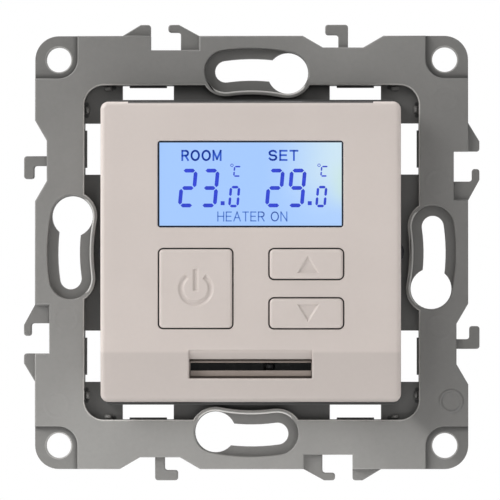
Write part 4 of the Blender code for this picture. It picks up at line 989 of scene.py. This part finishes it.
def dress_cad_nodes():
    """Give every CAD node that stays its finish."""
    for part in frame["record"]["subparts"]:
        mesh = frame["nodes"][part["node"]].data
        slot = OTHER_FINISH.get(part["node"], part["material_slot"])
        mesh.materials.clear()
        mesh.materials.append(FINISHES[slot])


HOOK_ROUND = 0.45         # plan rounding of the hooks' corners
HOOK_PLAN = 35.6          # the hooks lie beyond this distance from the middle
EDGE_ROUND = 0.2
OPENING_ROUND = 0.32
HOLE_RIM = 2.3            # a corner hole's edges lie within this distance of its centre
# Knobs on the frame's floor at each corner of the opening: centre, size and height.
KNOBS = ((23.5, 26.95, 1.3, 0.8), (26.95, 23.4, 0.8, 1.3))
KNOB_HEIGHT = 1.0


def make_frame():
    """The grey frame: hook corners rounded in plan, then its front edges rounded."""
    work = merged("mounting_frame")
    upright = []
    for edge in sharp_edges(work):
        a, b = (vert.co / MM for vert in edge.verts)
        reach = max(abs(a.x), abs(a.z))
        if abs(a.x - b.x) < 0.01 and abs(a.z - b.z) < 0.01 and reach > HOOK_PLAN:
            upright.append(edge)
    bevelled(work, upright, HOOK_ROUND, 4)
    opening, rims, rest = [], [], []
    for edge in sharp_edges(work, (PLATE_FRONT, HOOK_FRONT, PAD_LEVEL)):
        middle = (edge.verts[0].co + edge.verts[1].co) / 2 / MM
        x, z = abs(middle.x), abs(middle.z)
        if middle.y > PAD_LEVEL - 0.01:
            if math.hypot(x - HOLE_AT, z - HOLE_AT) < HOLE_RIM:
                rims.append(edge)
        elif max(x, z) < OPENING_HALF + 0.1:
            opening.append(edge)
        else:
            rest.append(edge)
    bevelled(work, opening, OPENING_ROUND)
    bevelled(work, [edge for edge in rest if edge.is_valid], EDGE_ROUND)
    bevelled(work, [edge for edge in rims if edge.is_valid], EDGE_ROUND)
    skin(work, "mounting_frame")
    shell = Shell()
    for x, z, width, height in KNOBS:
        for side_x, side_z in ((1, 1), (-1, 1), (-1, -1), (1, -1)):
            rings = []
            for turn in np.linspace(0, math.pi / 2, 7):
                size = 1 - 0.75 * (1 - math.cos(turn))
                flat = round_rect(x * side_x, z * side_z, width * size, height * size,
                                  0.3 * size, 6)
                rings.append(ring(flat, FLOOR_LEVEL + 0.01 - KNOB_HEIGHT * math.sin(turn)))
            shell.loft(rings)
            shell.cap(rings[0])
            shell.cap(rings[-1])
    shell.piece("frame_floor_knobs", "frame_plastic", BODY)


def make_louvre():
    """Plate behind the vent: a bezel stands round the slot, with a groove outside it."""
    low, high = node_box("vent_louvre")
    front, back = low[1], high[1]
    middle = (low[2] + high[2]) / 2

    def flat(width, top, bottom, corner):
        return round_rect(0, (top + bottom) / 2, width, top - bottom, corner, 5)

    plate = round_rect(0, middle, high[0] - low[0], high[2] - low[2], 0.3, 5)
    rings = [ring(plate, back), ring(plate, front + BEZEL_RISE),
             ring(flat(20.0, BEZEL_TOP, BEZEL_BOTTOM, 0.2), front + BEZEL_RISE)]
    for turn in np.linspace(0, math.pi / 2, 5):
        inset = 0.15 * (1 - math.cos(turn))
        outline = flat(20.0 - 2 * inset, BEZEL_TOP - inset, BEZEL_BOTTOM + inset, 0.2 - inset)
        rings.append(ring(outline, front + 0.15 * (1 - math.sin(turn))))
    for turn in np.linspace(math.pi / 2, 0, 4):
        grow = 0.1 * (1 - math.cos(turn))
        outline = flat(SLOT_WIDTH + 2 * grow, SLOT_TOP + grow, SLOT_BOTTOM - grow, 0.1 + grow)
        rings.append(ring(outline, front + 0.1 * (1 - math.sin(turn))))
    rings += [ring(outline, back), ring(plate, back)]
    shell = Shell()
    shell.loft(rings)
    shell.piece("vent_bezel", "louvre_plastic", BODY, "vent_louvre")


def make_soft_bodies():
    """CAD shapes whose edges are rounded."""
    softened("back_housing", 0.2, levels=(node_box("back_housing")[1][1],))
    softened("carrier", 0.1, levels=(node_box("carrier")[0][1],))
    softened("terminal_block", 0.1, levels=(node_box("terminal_block")[1][1],))


TERMINAL_XS = [node_box(f"terminal_screw_{n}")[0][0] + 1.75 for n in range(1, 6)]
NUMERAL_Z = -12.2
NUMERALS = {
    "1": ("upper_right", "lower_right"),
    "4": ("upper_left", "middle", "upper_right", "lower_right"),
    "5": ("top", "middle", "bottom", "upper_left", "lower_right"),
}
DIGITS.update(NUMERALS)


def make_numerals():
    """Raised numerals 1 to 5 on the terminal block, one above each terminal, reading
    from behind: drawn as on the display, then turned half round about the upright."""
    ink = Ink()
    for number, x in enumerate(reversed(TERMINAL_XS), 1):
        ink.digit(str(number), -x - 0.5, NUMERAL_Z, 1.0, 1.7, 0.22, 0.0)
    rear = node_box("terminal_block")[1][1]
    for patch in ink.points:
        patch *= (-1, -1, 1)
        patch[:, 1] += rear + FACE_LEVEL
    ink.piece("terminal_numerals", "white_plastic", BODY)


# ---- studio ---------------------------------------------------------------

CAMERA = Vector((0.028, -1.2, -0.022))
AIM = Vector((-0.00023, PLATE_FRONT * MM, 0.00038))
VIEW_WIDTH = 0.0819       # width of the view at the plate's face


def make_camera():
    """A long lens aimed at the plate's middle from a little right of it and below."""
    data = bpy.data.cameras.new("camera")
    data.lens = data.sensor_width * (AIM - CAMERA).length / VIEW_WIDTH
    data.clip_end = 10
    camera = bpy.data.objects.new("camera", data)
    camera.location = CAMERA
    camera.rotation_euler = (AIM - CAMERA).to_track_quat("-Z", "Y").to_euler()
    bpy.context.scene.collection.objects.link(camera)
    bpy.context.scene.camera = camera


def lamp(name, place, size, power, colour=(1, 1, 1)):
    """A square soft lamp aimed at the object."""
    data = bpy.data.lights.new(name, "AREA")
    data.size = size
    data.energy = power
    data.color = colour
    made = bpy.data.objects.new(name, data)
    made.location = place
    made.rotation_euler = Vector(place).to_track_quat("Z", "Y").to_euler()
    bpy.context.scene.collection.objects.link(made)


def make_world():
    """A white world where it is seen, and a soft surround where it lights: bright
    beside and behind the object, dim in front, brightest at the left and above."""
    world = bpy.data.worlds.new("studio")
    bpy.context.scene.world = world
    world.use_nodes = True
    surround = Wiring(world.node_tree)
    background = surround.tree.nodes["Background"]
    way = surround.node("ShaderNodeTexCoord", output="Generated")
    back = way.part("Y").ramp(-0.7, 0.1, 0.1, 1.1)
    left = way.part("X").ramp(-1.0, 1.0, 1.7, 0.75)
    above = way.part("Z").ramp(-1.0, 1.0, 0.2, 1.6)
    light = back * left * above
    seen = surround.node("ShaderNodeLightPath", output="Is Camera Ray")
    level = seen + (1.0 - seen) * light
    surround.plug(background.inputs["Strength"], level)
    background.inputs["Color"].default_value = (1, 1, 1, 1)


def make_studio():
    """Soft lamps and a pale floor well below."""
    lamp("key", (-0.88, -0.65, 0.62), 0.5, 8.2)
    lamp("fill", (0.32, -1.0, 0.45), 0.8, 2.6)
    mesh = bpy.data.meshes.new("floor")
    shape = bmesh.new()
    bmesh.ops.create_circle(shape, cap_ends=True, segments=64, radius=0.28)
    shape.to_mesh(mesh)
    shape.free()
    mesh.transform(Matrix.Translation((0, 0, -0.062)))
    floor = bpy.data.objects.new("floor", mesh)
    finish = Finish("pale_floor", Roughness=0.7)
    cloud = finish.noise(20.0, 3.0)
    finish.set(Base_Color=finish.blend(cloud, (0.86, 0.86, 0.86), (0.9, 0.9, 0.9)))
    mesh.materials.append(finish.material)
    bpy.context.scene.collection.objects.link(floor)


bpy.context.scene.view_settings.view_transform = "Standard"
dress_cad_nodes()
make_cover()
for key_name, key_size in KEYS.items():
    make_key(key_name, key_size)
make_display()
make_louvre()
make_frame()
make_soft_bodies()
make_numerals()
make_camera()
make_world()
make_studio()
